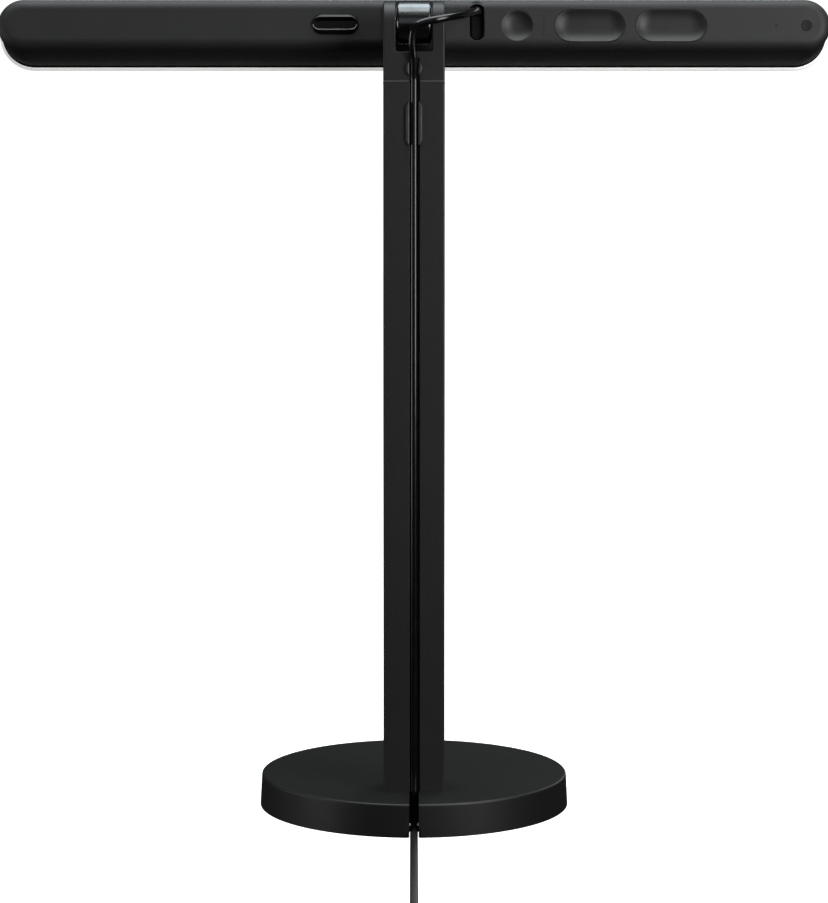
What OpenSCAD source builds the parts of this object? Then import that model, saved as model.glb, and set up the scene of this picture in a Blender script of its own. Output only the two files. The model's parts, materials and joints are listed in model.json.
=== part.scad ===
// Light bar on a telescoping desk stand.
// Frame: origin at the middle of the base on the table, +Z up, the light faces +Y,
// the controls and the cable are on the -Y side. Millimetres.

/* [Base] */
// Diameter of the base at the table
base_d = 148.4; // [140:0.2:170]
// Height of the base
base_h = 15.4; // [14.6:0.2:18]
// Width of the cable slit in the base
slit_w = 4.4; // [4.2:0.1:5.2]

/* [Post] */
// Width of the post
post_w = 28.6; // [27:0.1:32]
// Depth of the post, front to back
post_t = 19.4; // [19:0.2:22]
// How far the post stands behind the middle of the base
post_back = 38.3; // [34:0.1:42]
// Height of the top of the outer sleeve
sleeve_top = 347.4; // [320:0.2:380]
// Travel of the telescoping post
post_travel = 150; // [60:5:160]

/* [Hinge] */
// Height of the tilt axis above the sleeve's top
axis_rise = 27.4; // [26:0.1:32]
// Width of the hinge barrel
barrel_w = 16; // [14:0.1:17]
// Diameter of the hinge barrel
barrel_d = 20.1; // [18:0.1:21]
// Downward tilt of the light at rest, in degrees
rest_tilt = 9; // [0:1:12]

/* [Light bar] */
// Length of the dark housing
bar_len = 394.8; // [390:0.2:420]
// Height of the housing at its back
bar_h = 25; // [24.6:0.2:27]
// Height of the housing at its front
bar_h_front = 31.8; // [31:0.2:34]
// Depth of the housing
bar_depth = 25; // [24:0.5:28]
// Gap from the tilt axis to the back of the housing
back_gap = 18; // [17:0.5:22]
// Height of the housing's centre line above the tilt axis
bar_rise = 3.1; // [2:0.1:5]

/* [Cable] */
// Diameter of the cable
cord_d = 3.6; // [3:0.1:3.8]

/* [Hidden] */
$fn = 64;

// Base
base_top_r = base_d / 2 - 0.7;
base_edge = 0.9;
cover_lift = 0.1;
cover_in_r = base_d / 2 - 4;
cover_top_t = 2.8;
foot_t = 0.6;
plate_t = 1.4;
weight_r = cover_in_r - 0.5;
slit_end = -post_back + 5.2 - post_t / 2;
slit_wall = 1.6;
web_top = 1.3;
web_y = -62;
bevel = 1.1;
screw_ring_r = 48;
bolt_dx = 8;

// Post
post_rear = -post_back - post_t / 2;
post_front = -post_back + post_t / 2;
post_edge = 1.2;
groove_w = 5.2;
groove_depth = 4;
bore_w = 24;
bore_rear = post_rear + groove_depth + 1.2;
bore_front = post_front - 1.5;
bore_t = bore_front - bore_rear;
bore_y = (bore_rear + bore_front) / 2;
inner_w = 22.8;
inner_t = bore_t - 1.1;
inner_wall = 1.6;
glide_h = 11;
glide_gap = 0.1;
overlap_h = 28;
inner_bottom = sleeve_top - glide_h - post_travel - overlap_h;
seam = 0.1;
head_bottom = sleeve_top + seam;
socket_top = head_bottom + 8;

// Hinge
axis_y = -post_back;
axis_z = sleeve_top + axis_rise;
washer_gap = 0.6;
cut_w = barrel_w + 2 * washer_gap;
cut_bottom = sleeve_top + 13.6;
cut_r = 1.2;
axle_r = 2.5;
bush_r = 4.5;
fit = 0.05;
cap_r = 4.5;
cap_t = 1.2;
neck_h = 8.5;
flange_w = post_w;
flange_h = 18.4;
flange_up = 1.7;
flange_t = 1.6;

// Light bar, in its own frame: u is the depth from the back face, w is up
wall = 1.8;
back_edge = 5.5;
lip = 1.2;
ring_t = 2;
bezel_t = 1.5;
bezel_h = 32;
window_h = 27;
pocket_x = 30.1;
pocket_w = 0.8;
pocket_size = [6.8, 17.6];
pocket_depth = 6.2;
board_u = 11;
board_t = 1.6;
heat_u = 15.4;
led_u = heat_u + 1.6;
led_pitch = 15;
boss_x = [-175, -90, 102.6, 160];
boss_d = 6;
control_w = -0.75;
button_gap = 0.3;
dish = 1.3;
power_x = 49.2;
power_d = 14.6;
bright_x = 83.6;
warm_x = 121.9;
rocker_size = [32.8, 14.9];
mode_x = -37.3;
mode_size = [22.4, 9.6];
pair_x = 185.5;
pair_d = 5.2;
status_x = 171.5;
status_d = 1.6;
stem_d = 3.4;
rocker_pivot_u = 5;
rocker_pivot_r = 1.4;
rocker_throw = 11;

// Cable clips
clip_w = 8.2;
clip_slot = 3.9;
clip_proud = 1.1;
clip_round = 3.2;
upper_clip_z = [349.6, 356.6];
lower_clip_z = [317.2, 338.2];
groove_top = upper_clip_z[1] + 1.6;

// Cable route
cord_r = cord_d / 2;
cord_y = post_rear + 2.1;
floor_z = cord_r + 0.05;
bend_r = 9;
lead_end_z = 348;
cord_gap = 0.12;
slit_z = web_top + floor_z;
bend_top_z = slit_z + bend_r;
lead_points = [
  [29.8, -19.3, 381.2], [29.5, -24, 381], [28.3, -29.5, 380.3], [25.7, -36, 379.3],
  [21.6, -43.5, 378.1], [16.4, -49.2, 376.9], [11.6, -52, 375.9], [7.7, -52.9, 375.1],
  [4.4, -53.2, 374.3], [2, -53.2, 373.3], [0.4, -53.1, 371.9], [-0.4, -53, 370],
  [-0.8, -52.7, 367.4], [-0.8, -52, 364.2], [-0.5, -51.1, 361.4], [-0.1, -50, 358.2],
  [0, -48.4, 355], [0, -46.4, 351.7], [0, cord_y, 349.2],
  [0, cord_y, lead_end_z + cord_gap]
];
coil_turn_r = 25.3;
coil_inner_r = 12.3;
coil_x = -coil_turn_r;
coil_y = -250;
layer_rise = 3.7;
// The run out of the slit, as [y, z]
floor_run = [
  [-58, slit_z], [-62, slit_z], [-66, 2.95], [-70, 2.55], [-74, 2.15], [-78, 1.92],
  [-84, floor_z], [-100, floor_z], [-120, floor_z], [-140, floor_z], [-160, floor_z],
  [-180, floor_z], [-200, floor_z], [-220, floor_z], [coil_y, floor_z]
];
tail_points = [
  [-25.3, -275.3, 5.5], [-34, -275.3, 5.3], [-43, -275.3, 4.6], [-52, -275.3, 3.8],
  [-58, -275.3, 3.4], [-63, -275.3, 3.3]
];
plug_x = -63;
plug_y = -275.3;
plug_z = 3.3;

// ---- Helpers -------------------------------------------------------------

// Rectangle with rounded corners
module round_rect(w, h, r) {
  square([w - 2 * r, h], center = true);
  square([w, h - 2 * r], center = true);
  for (x = [-1, 1], y = [-1, 1])
    translate([x * (w / 2 - r), y * (h / 2 - r)]) circle(r);
}

// Rectangle with half-round ends, along X
module pill(w, h) {
  square([w - h, h], center = true);
  for (x = [-1, 1]) translate([x * (w - h) / 2, 0]) circle(d = h);
}

// Post cross-section placed at the post, extruded between two heights
module post_prism(z0, z1) {
  translate([0, axis_y, z0]) linear_extrude(z1 - z0) children();
}

// The light bar's frame: back face at u = 0
module bar_frame() {
  translate([0, axis_y, axis_z]) rotate([-rest_tilt, 0, 0])
    translate([0, back_gap, bar_rise]) children();
}

// A flat outline in X and W, extruded from depth u0 to u1
module bar_prism(u0, u1) {
  translate([0, u1, 0]) rotate([90, 0, 0]) linear_extrude(u1 - u0) children();
}

// Cylinder along the bar's depth
module bar_pin(x, w, d, u0, u1) {
  translate([x, u1, w]) rotate([90, 0, 0]) cylinder(d = d, h = u1 - u0);
}

function half_height(u, inset) =
  bar_h / 2 - inset + max(0, u - back_edge)
  * (bar_h_front - bar_h) / 2 / (bar_depth - back_edge);

// Drafted pill-shaped body with a rounded back edge; inset shrinks it evenly
module bar_loft(inset, u_front) {
  edge = back_edge - inset;
  skin = 0.02;
  hull() {
    for (a = [0 : 18 : 90]) {
      u = back_edge - edge * cos(a);
      h = half_height(u, inset) - edge * (1 - sin(a));
      bar_prism(u, u + skin) pill(bar_len - 2 * inset - 2 * edge * (1 - sin(a)), 2 * h);
    }
    bar_prism(u_front - skin, u_front)
      pill(bar_len - 2 * inset, 2 * half_height(u_front, inset));
  }
}

// Ring between two pill outlines
module pill_ring(u0, u1, len, h_out, h_in) {
  bar_prism(u0, u1) difference() {
    pill(len, h_out);
    pill(len - h_out + h_in, h_in);
  }
}

function unit(v) = v / norm(v);
function tangent(p, i) = unit(p[min(i + 1, len(p) - 1)] - p[max(i - 1, 0)]);
function ring(c, t, ref, r) =
  let (a = unit(cross(t, ref)), b = cross(t, a))
  [for (k = [0 : 7]) c + r * (cos(45 * k) * a + sin(45 * k) * b)];

// Point on a Catmull-Rom curve through the points p
function curve_point(p, i, f) =
  let (n = len(p) - 1, a = p[max(i - 1, 0)], b = p[i], c = p[min(i + 1, n)],
       d = p[min(i + 2, n)])
  0.5 * (2 * b + (c - a) * f + (2 * a - 5 * b + 4 * c - d) * f * f
         + (3 * b - a - 3 * c + d) * f * f * f);
function curve(p, steps) =
  [for (i = [0 : len(p) - 2], k = [0 : steps - 1]) curve_point(p, i, k / steps),
   p[len(p) - 1]];

// Eight-sided tube along the points p; ref is never parallel to the path
module tube(p, ref, r) {
  n = len(p);
  pts = [for (i = [0 : n - 1]) each ring(p[i], tangent(p, i), ref, r)];
  sides = [for (i = [0 : n - 2], k = [0 : 7])
    [8 * i + k, 8 * i + (k + 1) % 8, 8 * (i + 1) + (k + 1) % 8, 8 * (i + 1) + k]];
  start = [for (k = [7 : -1 : 0]) k];
  end = [for (k = [0 : 7]) 8 * (n - 1) + k];
  polyhedron(points = pts, faces = concat([start, end], sides), convexity = 4);
}

// ---- Base ----------------------------------------------------------------

module slit_cut(w, z0, z1) {
  translate([-w / 2, -base_d / 2 - 1, z0])
    cube([w, slit_end + base_d / 2 + 1, z1 - z0]);
}

module base_cover() {
  r = base_d / 2;
  color([0.11, 0.115, 0.11]) difference() {
    union() {
      rotate_extrude($fn = 180) polygon(concat(
        [[0, base_h], [0, base_h - cover_top_t], [cover_in_r, base_h - cover_top_t],
         [cover_in_r, cover_lift], [r - 0.5, cover_lift], [r, cover_lift + 0.5]],
        [for (a = [0 : 15 : 90])
          [base_top_r - base_edge * (1 - cos(a)), base_h - base_edge * (1 - sin(a))]]));
      intersection() {
        translate([0, 0, cover_lift])
          cylinder(r = r - 2, h = base_h - cover_lift - 1, $fn = 180);
        translate([-slit_w / 2 - slit_wall, -r, 0])
          cube([slit_w + 2 * slit_wall, slit_end + r + slit_wall, base_h]);
      }
    }
    // the slit has a floor behind web_y and is open to the table in front of it
    slit_cut(slit_w, web_top, base_h + 1);
    translate([-slit_w / 2, -r - 1, -1]) cube([slit_w, web_y + r + 1, base_h]);
    translate([0, 0, -1]) linear_extrude(base_h + 2) polygon([
      [-slit_w / 2 - 2 * bevel + 0.1, -r - 1], [slit_w / 2 + 2 * bevel - 0.1, -r - 1],
      [slit_w / 2, -r + bevel], [-slit_w / 2, -r + bevel]]);
    for (x = [-1, 1])
      translate([x * bolt_dx, axis_y + 1, 0]) cylinder(r = 2.6, h = base_h + 1);
  }
  color([0.11, 0.115, 0.11]) for (x = [-1, 1])
    translate([x * (slit_w / 2 + 0.25), -r + 2.4, 6.2]) sphere(0.8, $fn = 24);
}

module base_weight() {
  z0 = foot_t + plate_t;
  color([0.3, 0.3, 0.31]) difference() {
    translate([0, 0, z0])
      cylinder(r = weight_r, h = base_h - cover_top_t - 0.2 - z0, $fn = 120);
    translate([-slit_w / 2 - slit_wall - 0.4, -base_d / 2, 0])
      cube([slit_w + 2 * slit_wall + 0.8, slit_end + base_d / 2 + slit_wall + 0.4, 20]);
    for (x = [-1, 1]) translate([x * bolt_dx, axis_y + 1, 0]) {
      cylinder(r = 2.6, h = 20);
      cylinder(r = 4.6, h = 6);
    }
    for (a = [45 : 90 : 315]) rotate([0, 0, a])
      translate([screw_ring_r, 0, 0]) cylinder(r = 1.5 + fit, h = 9);
  }
}

module base_plate() {
  color([0.13, 0.13, 0.13]) difference() {
    translate([0, 0, foot_t]) cylinder(r = weight_r, h = plate_t, $fn = 120);
    translate([-slit_w / 2 - slit_wall - 0.4, -base_d / 2, 0])
      cube([slit_w + 2 * slit_wall + 0.8, slit_end + base_d / 2 + slit_wall + 0.4, 20]);
    for (a = [45 : 90 : 315]) rotate([0, 0, a])
      translate([screw_ring_r, 0, 0]) cylinder(r = 2.8 + fit, h = 9);
  }
}

module base_foot() {
  color([0.05, 0.05, 0.05]) difference() {
    cylinder(r = weight_r - 1, h = foot_t, $fn = 120);
    translate([0, 0, -1]) cylinder(r = weight_r - 14, h = 3, $fn = 120);
    slit_cut(slit_w + 2 * slit_wall + 0.8, -1, 3);
  }
}

module base_screws() {
  color([0.55, 0.55, 0.56]) for (a = [45 : 90 : 315]) rotate([0, 0, a])
    translate([screw_ring_r, 0, foot_t + 0.1]) {
      cylinder(r = 2.8, h = plate_t - 0.1);
      cylinder(r = 1.5, h = 7.5);
    }
}

module post_foot() {
  color([0.5, 0.51, 0.52]) difference() {
    translate([0, bore_y, base_h]) linear_extrude(24)
      round_rect(bore_w - 2 * fit, bore_t - 2 * fit, 1);
    for (x = [-1, 1])
      translate([x * bolt_dx, axis_y + 1, 0]) cylinder(r = 2.5 + fit, h = base_h + 18);
  }
}

module post_bolts() {
  color([0.6, 0.6, 0.62]) for (x = [-1, 1]) translate([x * bolt_dx, axis_y + 1, 2.2])
    difference() {
      union() {
        cylinder(r = 4.4, h = 3.8);
        cylinder(r = 2.5, h = base_h + 14);
      }
      translate([0, 0, -0.1]) cylinder(r = 2, h = 2.2, $fn = 6);
    }
}

// ---- Post ----------------------------------------------------------------

module groove_2d() {
  half = post_t / 2;
  translate([-groove_w / 2, -half - 1]) square([groove_w, groove_depth + 1]);
  polygon([[-groove_w / 2 - 1.6, -half - 0.9], [groove_w / 2 + 1.6, -half - 0.9],
           [groove_w / 2, -half + 0.7], [-groove_w / 2, -half + 0.7]]);
}

module post_sleeve() {
  color([0.105, 0.11, 0.105]) difference() {
    post_prism(base_h, sleeve_top) round_rect(post_w, post_t, post_edge);
    post_prism(base_h - 1, sleeve_top + 1) groove_2d();
    translate([0, bore_y, base_h - 1]) linear_extrude(sleeve_top)
      square([bore_w, bore_t], center = true);
  }
}

module sleeve_glide() {
  color([0.75, 0.75, 0.72]) translate([0, bore_y, sleeve_top - glide_h - 0.5])
    linear_extrude(glide_h) difference() {
      square([bore_w - 0.02, bore_t - 0.02], center = true);
      square([inner_w + 2 * glide_gap, inner_t + 2 * glide_gap], center = true);
    }
}

module inner_post() {
  color([0.45, 0.46, 0.47]) difference() {
    translate([0, bore_y, inner_bottom]) linear_extrude(socket_top - inner_bottom)
      difference() {
        square([inner_w, inner_t], center = true);
        square([inner_w - 2 * inner_wall, inner_t - 2 * inner_wall], center = true);
      }
    translate([-post_w, bore_y, head_bottom + 4]) rotate([0, 90, 0])
      cylinder(r = 1.2, h = 2 * post_w);
  }
}

module lower_glide() {
  color([0.75, 0.75, 0.72]) {
    translate([0, bore_y, inner_bottom - 2]) linear_extrude(2)
      square([bore_w - 0.3, bore_t - 0.3], center = true);
    translate([0, bore_y, inner_bottom - 2]) linear_extrude(12)
      square([inner_w - 2 * inner_wall - 0.1, inner_t - 2 * inner_wall - 0.1],
             center = true);
  }
}

module friction_springs() {
  color([0.7, 0.68, 0.6]) for (x = [-1, 1])
    translate([x * (inner_w / 2 + 0.26), bore_y, inner_bottom + 12])
      cube([0.4, 5, 24], center = true);
}

module head_side_2d() {
  translate([-post_t / 2, head_bottom]) square([post_t, axis_z - head_bottom]);
  translate([0, axis_z]) circle(d = post_t, $fn = 96);
}

module fork_head() {
  color([0.115, 0.12, 0.115]) difference() {
    translate([-post_w / 2, axis_y, 0]) rotate([90, 0, 90])
      linear_extrude(post_w) head_side_2d();
    // cut-out for the barrel
    translate([0, axis_y + post_t, 0]) rotate([90, 0, 0]) linear_extrude(2 * post_t)
      translate([0, cut_bottom + 30]) round_rect(cut_w, 60, cut_r);
    // cable groove, which starts above the clip
    post_prism(head_bottom - 1, groove_top) groove_2d();
    // socket for the inner post, and the pins and the axle
    translate([0, bore_y, head_bottom - 1]) linear_extrude(socket_top + 0.1 - head_bottom + 1)
      square([inner_w + 0.1, inner_t + 0.1], center = true);
    translate([-post_w, bore_y, head_bottom + 4]) rotate([0, 90, 0])
      cylinder(r = 1.2, h = 2 * post_w);
    translate([-post_w, axis_y, axis_z]) rotate([0, 90, 0])
      cylinder(r = axle_r + fit, h = 2 * post_w);
    for (x = [-1, 1]) translate([x * (post_w / 2 - cap_t + 5), axis_y, axis_z])
      rotate([0, 90, 0]) cylinder(r = cap_r + fit, h = 10, center = true);
  }
}

module head_pins() {
  color([0.6, 0.6, 0.62]) for (x = [-1, 1])
    translate([x * (inner_w / 2 + 0.6), bore_y, head_bottom + 4]) rotate([0, 90, 0])
      cylinder(r = 1.2 - fit, h = 4, center = true);
}

// ---- Hinge ---------------------------------------------------------------

module hinge_axle() {
  color([0.65, 0.66, 0.68]) translate([0, axis_y, axis_z]) rotate([0, 90, 0])
    cylinder(r = axle_r, h = post_w - 2 * cap_t, center = true);
}

module axle_caps() {
  color([0.1, 0.1, 0.1]) for (x = [-1, 1])
    translate([x * (post_w / 2 - cap_t / 2), axis_y, axis_z]) rotate([0, 90, 0])
      cylinder(r = cap_r, h = cap_t - 0.1, center = true);
}

module hinge_washers() {
  color([0.12, 0.12, 0.12]) for (x = [-1, 1])
    translate([x * (barrel_w + washer_gap) / 2, axis_y, axis_z]) rotate([0, 90, 0])
      difference() {
        cylinder(d = 15, h = washer_gap - 0.2, center = true);
        cylinder(r = axle_r + fit, h = 2, center = true);
      }
}

module hinge_knuckle() {
  bevel_x = 0.8;
  color([0.42, 0.44, 0.45]) difference() {
    union() {
      translate([0, axis_y, axis_z]) rotate([0, 90, 0]) {
        cylinder(d = barrel_d, h = barrel_w - 2 * bevel_x, center = true, $fn = 96);
        for (s = [0, 1]) mirror([0, 0, s]) translate([0, 0, barrel_w / 2 - bevel_x])
          cylinder(d1 = barrel_d, d2 = barrel_d - 2 * bevel_x, h = bevel_x, $fn = 96);
      }
      translate([0, axis_y, axis_z]) rotate([-rest_tilt, 0, 0])
        translate([-barrel_w / 2 + bevel_x, 0, -neck_h / 2 + 1.2])
          cube([barrel_w - 2 * bevel_x, back_gap - flange_t / 2, neck_h]);
      bar_frame() bar_prism(-flange_t, 0) translate([0, flange_up])
        round_rect(flange_w, flange_h, 0.4);
    }
    translate([0, axis_y, axis_z]) rotate([0, 90, 0])
      cylinder(r = bush_r + 0.02, h = 2 * barrel_w, center = true);
    bar_frame() for (x = [-1, 1], w = [-1, 1])
      bar_pin(x * 9.4, w * 5, 2.5, -5, 1);
  }
}

module friction_bush() {
  color([0.72, 0.6, 0.3]) translate([0, axis_y, axis_z]) rotate([0, 90, 0])
    difference() {
      cylinder(r = bush_r, h = barrel_w - 0.2, center = true);
      cylinder(r = axle_r + fit, h = 2 * barrel_w, center = true);
    }
}

module bracket_plate() {
  color([0.6, 0.61, 0.62]) bar_frame() difference() {
    bar_prism(wall + 0.05, wall + 2) round_rect(40, 13.8, 2);
    for (x = [-1, 1], w = [-1, 1]) bar_pin(x * 9.4, w * 5, 2.1, 0, 10);
  }
}

module bracket_screws() {
  color([0.6, 0.6, 0.62]) bar_frame() for (x = [-1, 1], w = [-1, 1]) {
    bar_pin(x * 9.4, w * 5, 4.2, -flange_t - 1, -flange_t);
    bar_pin(x * 9.4, w * 5, 2, -flange_t - 0.1, wall + 3);
  }
}

// ---- Cable clips ---------------------------------------------------------

// Two jaws that stand in the groove and hold the cable between them
module cable_clip(z) {
  h = z[1] - z[0];
  color([0.13, 0.135, 0.13]) difference() {
    translate([0, post_rear, (z[0] + z[1]) / 2]) rotate([90, 0, 0]) union() {
      linear_extrude(clip_proud) round_rect(clip_w, h, clip_round);
      translate([0, 0, -2.2]) linear_extrude(2.4)
        square([groove_w - 0.04, h - 2], center = true);
    }
    translate([-clip_slot / 2, post_rear - 5, z[0] - 1]) cube([clip_slot, 20, h + 2]);
  }
}

module upper_cable_clip() { cable_clip(upper_clip_z); }

module lower_cable_clip() { cable_clip(lower_clip_z); }

// ---- Light bar -----------------------------------------------------------

module rear_shell() {
  color([0.17, 0.175, 0.17]) bar_frame() difference() {
    union() {
      difference() {
        bar_loft(0, bar_depth);
        bar_loft(wall, bar_depth + 1);
      }
      // pocket for the cable's plug
      translate([pocket_x, 0, pocket_w]) bar_prism(0.9, pocket_depth + 1)
        square([pocket_size[0] + 2.4, pocket_size[1] + 1], center = true);
      for (x = boss_x) bar_pin(x, -6, boss_d, 1, heat_u - 0.05);
    }
    translate([pocket_x, 0, pocket_w]) {
      bar_prism(-1, pocket_depth) rotate(90) pill(pocket_size[1], pocket_size[0]);
      bar_prism(-1, 20) square([3.8, 9.4], center = true);
    }
    for (x = boss_x) bar_pin(x, -6, 2, 4, 30);
    bar_pin(power_x, control_w, power_d + 2 * button_gap, -1, 5);
    bar_pin(pair_x, control_w, pair_d + 2 * button_gap, -1, 5);
    for (x = [bright_x, warm_x]) translate([x, 0, control_w]) bar_prism(-1, 5)
      pill(rocker_size[0] + 2 * button_gap, rocker_size[1] + 2 * button_gap);
    translate([mode_x, 0, control_w]) bar_prism(-1, 5)
      pill(mode_size[0] + 2 * button_gap, mode_size[1] + 2 * button_gap);
    bar_pin(status_x, control_w, status_d + 0.1, -1, 5);
    for (x = [-1, 1], w = [-1, 1]) bar_pin(x * 9.4, w * 5, 2.5, -1, 5);
  }
}

module light_ring() {
  color([0.85, 0.86, 0.87]) bar_frame()
    pill_ring(bar_depth + 0.02, bar_depth + ring_t, bar_len + 2 * lip,
              bar_h_front + 2 * lip, window_h);
}

module front_bezel() {
  u0 = bar_depth + ring_t + 0.02;
  color([0.08, 0.08, 0.08]) bar_frame()
    pill_ring(u0, u0 + bezel_t, bar_len, bezel_h, window_h);
}

module front_diffuser() {
  color([0.93, 0.93, 0.9]) bar_frame()
    bar_prism(bar_depth + 1.6, bar_depth + ring_t + bezel_t - 0.2)
      pill(bar_len - bezel_h + window_h - 0.2, window_h - 0.2);
}

module diffusion_film() {
  color([0.95, 0.95, 0.95]) bar_frame() bar_prism(bar_depth + 0.9, bar_depth + 1.4)
    pill(bar_len - bezel_h + window_h - 0.6, window_h - 0.6);
}

module reflector_tray() {
  h = 24;
  color([0.92, 0.92, 0.92]) bar_frame()
    pill_ring(led_u + 1.8, bar_depth - 0.1, 384, h, h - 3);
}

module heat_spreader() {
  color([0.7, 0.71, 0.72]) bar_frame() difference() {
    bar_prism(heat_u, heat_u + 1.5) round_rect(376, 23, 6);
    for (x = boss_x) bar_pin(x, -6, 2.2, 10, 20);
  }
}

module front_led_board() {
  color([0.85, 0.87, 0.86]) bar_frame() difference() {
    bar_prism(led_u + 0.02, led_u + 1.2) round_rect(372, 20.6, 4);
    for (x = boss_x) bar_pin(x, -6, 4.4, 10, 30);
  }
}

module front_leds() {
  color([0.95, 0.9, 0.55]) bar_frame() for (i = [-11 : 11], w = [-1, 1])
    translate([i * led_pitch, led_u + 1.6, w * 2.6 + 1]) cube([2.8, 0.7, 2.8], center = true);
}

module rear_led_strips() {
  color([0.8, 0.85, 0.8]) bar_frame() for (w = [-1, 1]) {
    translate([0, bar_depth - 3.2, w * 12.45]) cube([330, 5, 0.5], center = true);
    for (i = [-10 : 10])
      translate([i * led_pitch, bar_depth - 2, w * 12.95]) cube([2, 1.6, 0.5], center = true);
  }
}

module chassis_screws() {
  color([0.6, 0.6, 0.62]) bar_frame() for (x = boss_x) {
    bar_pin(x, -6, 1.9, heat_u - 6, heat_u + 1.5);
    bar_pin(x, -6, 4, heat_u + 1.5, heat_u + 2.7);
  }
}

module control_board() {
  color([0.05, 0.25, 0.12]) bar_frame() difference() {
    translate([67.75, 0, 0.5]) bar_prism(board_u, board_u + board_t)
      round_rect(241.5, 17, 1);
    for (x = boss_x) bar_pin(x, -6, boss_d + 0.8, 0, 30);
  }
}

module tact_switches() {
  xs = [mode_x, power_x, bright_x - rocker_throw, bright_x + rocker_throw,
        warm_x - rocker_throw, warm_x + rocker_throw, pair_x];
  color([0.15, 0.15, 0.16]) bar_frame() for (x = xs) {
    translate([x, board_u - 0.85, control_w]) cube([5, 1.7, 5], center = true);
    bar_pin(x, control_w, 2.4, board_u - 2.2, board_u - 1.6);
  }
}

module radio_module() {
  color([0.6, 0.62, 0.64]) bar_frame()
    translate([4, board_u - 1.2, 1]) cube([16, 2.3, 11], center = true);
}

module usb_socket() {
  color([0.72, 0.73, 0.75]) bar_frame() translate([pocket_x, 0, pocket_w]) difference() {
    bar_prism(pocket_depth + 0.1, board_u - 0.05) rotate(90) round_rect(9.2, 3.6, 1.4);
    bar_prism(pocket_depth - 1, board_u - 0.8) rotate(90) round_rect(8.5, 2.9, 1.2);
  }
}

module status_window() {
  color([0.3, 0.32, 0.33]) bar_frame() bar_pin(status_x, control_w, status_d, 0.1, 3);
}

// ---- Controls ------------------------------------------------------------

module dished_pin(x, d) {
  ball_r = (d * d / 4 + dish * dish) / (2 * dish);
  bar_frame() difference() {
    union() {
      bar_pin(x, control_w, d, 0.15, 4.2);
      bar_pin(x, control_w, stem_d, 4, board_u - 3);
    }
    translate([x, dish + 0.15 - ball_r, control_w]) sphere(ball_r - 0.2, $fn = 96);
  }
}

module power_button() { color([0.16, 0.165, 0.16]) dished_pin(power_x, power_d); }

module pairing_button() {
  color([0.13, 0.135, 0.13]) bar_frame() {
    bar_pin(pair_x, control_w, pair_d, 0.1, 3.4);
    bar_pin(pair_x, control_w, 2.4, 3.2, board_u - 3);
  }
}

// Rocker cap with a trough-shaped hollow, tipping about its middle
module rocker(x) {
  w = rocker_size[0];
  h = rocker_size[1];
  ball_r = (h * h / 4 + dish * dish) / (2 * dish);
  color([0.16, 0.165, 0.16]) bar_frame() difference() {
    translate([x, 0, control_w]) {
      bar_prism(0.15, 3.8) pill(w, h);
      for (s = [-1, 1]) translate([s * rocker_throw, 0, 0]) bar_prism(3.7, board_u - 3)
        circle(d = stem_d);
      translate([0, rocker_pivot_u, 2 - h / 2]) cylinder(r = rocker_pivot_r, h = h - 4);
    }
    translate([x, dish + 0.15 - ball_r, control_w]) {
      rotate([0, 90, 0]) cylinder(r = ball_r - 0.2, h = w - h, center = true, $fn = 96);
      for (s = [-1, 1]) translate([s * (w - h) / 2, 0, 0]) sphere(ball_r - 0.2, $fn = 96);
    }
  }
}

module brightness_rocker() { rocker(bright_x); }

module temperature_rocker() { rocker(warm_x); }

// Pill-shaped key with a raised lip round a trough
module mode_button() {
  w = mode_size[0];
  h = mode_size[1];
  color([0.14, 0.145, 0.14]) bar_frame() translate([mode_x, 0, control_w]) difference() {
    union() {
      bar_prism(0.4, 3.8) pill(w, h);
      bar_prism(-0.7, 0.5) pill(w - 3, h - 3);
      bar_prism(3.7, board_u - 3) circle(d = stem_d);
    }
    bar_prism(-1, 0.9) pill(w - 5, h - 5);
  }
}

// ---- Cable ---------------------------------------------------------------

module lamp_plug() {
  color([0.07, 0.07, 0.07]) bar_frame() {
    translate([pocket_x, 0, pocket_w]) bar_prism(1.2, pocket_depth - 0.1)
      rotate(90) pill(pocket_size[1] - 0.8, pocket_size[0] - 0.8);
    bar_pin(29.8, 6.2, 5, -0.2, 2);
  }
}

module lamp_plug_tongue() {
  color([0.75, 0.76, 0.78]) bar_frame() translate([pocket_x, 0, pocket_w])
    bar_prism(pocket_depth - 0.08, board_u - 1.2) rotate(90) round_rect(8.2, 2.5, 1.1);
}

module cord_lead() {
  color([0.05, 0.05, 0.05]) tube(curve(lead_points, 2), [1, -0.3, -1], cord_r);
}

module cord_post_run() {
  steps = 34;
  color([0.05, 0.05, 0.05]) tube(
    [for (i = [0 : steps]) [0, cord_y, lead_end_z + (bend_top_z - lead_end_z) * i / steps]],
    [1, 0, 0], cord_r);
}

module cord_floor_run() {
  bend = [for (a = [0 : 18 : 90])
    [0, cord_y - bend_r * (1 - cos(a)), bend_top_z - bend_r * sin(a)]];
  run = [for (p = floor_run) [0, p[0], p[1]]];
  color([0.05, 0.05, 0.05]) tube(concat(bend, run), [1, 0, 0], cord_r);
}

module cord_coil() {
  color([0.05, 0.05, 0.05]) translate([coil_x, coil_y, 0]) rotate_extrude($fn = 96)
    translate([coil_inner_r - cord_r, 0])
      square([coil_turn_r - coil_inner_r + cord_d + 0.1, layer_rise + cord_d + 0.1]);
}

module cord_tail() {
  color([0.05, 0.05, 0.05]) tube(tail_points, [0, 0, 1], cord_r);
}

module cable_tie() {
  r_in = coil_inner_r - cord_r - 1.5;
  r_out = coil_turn_r + cord_r + 0.4;
  h = layer_rise + cord_d + 0.3;
  strap = 1.2;
  color([0.08, 0.08, 0.08]) translate([coil_x, coil_y - 4.5, 0]) difference() {
    translate([-r_out - strap, 0, 0]) cube([r_out - r_in + 2 * strap, 9, h + strap]);
    translate([-r_out, -1, -1]) cube([r_out - r_in, 11, h + 1]);
  }
}

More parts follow.
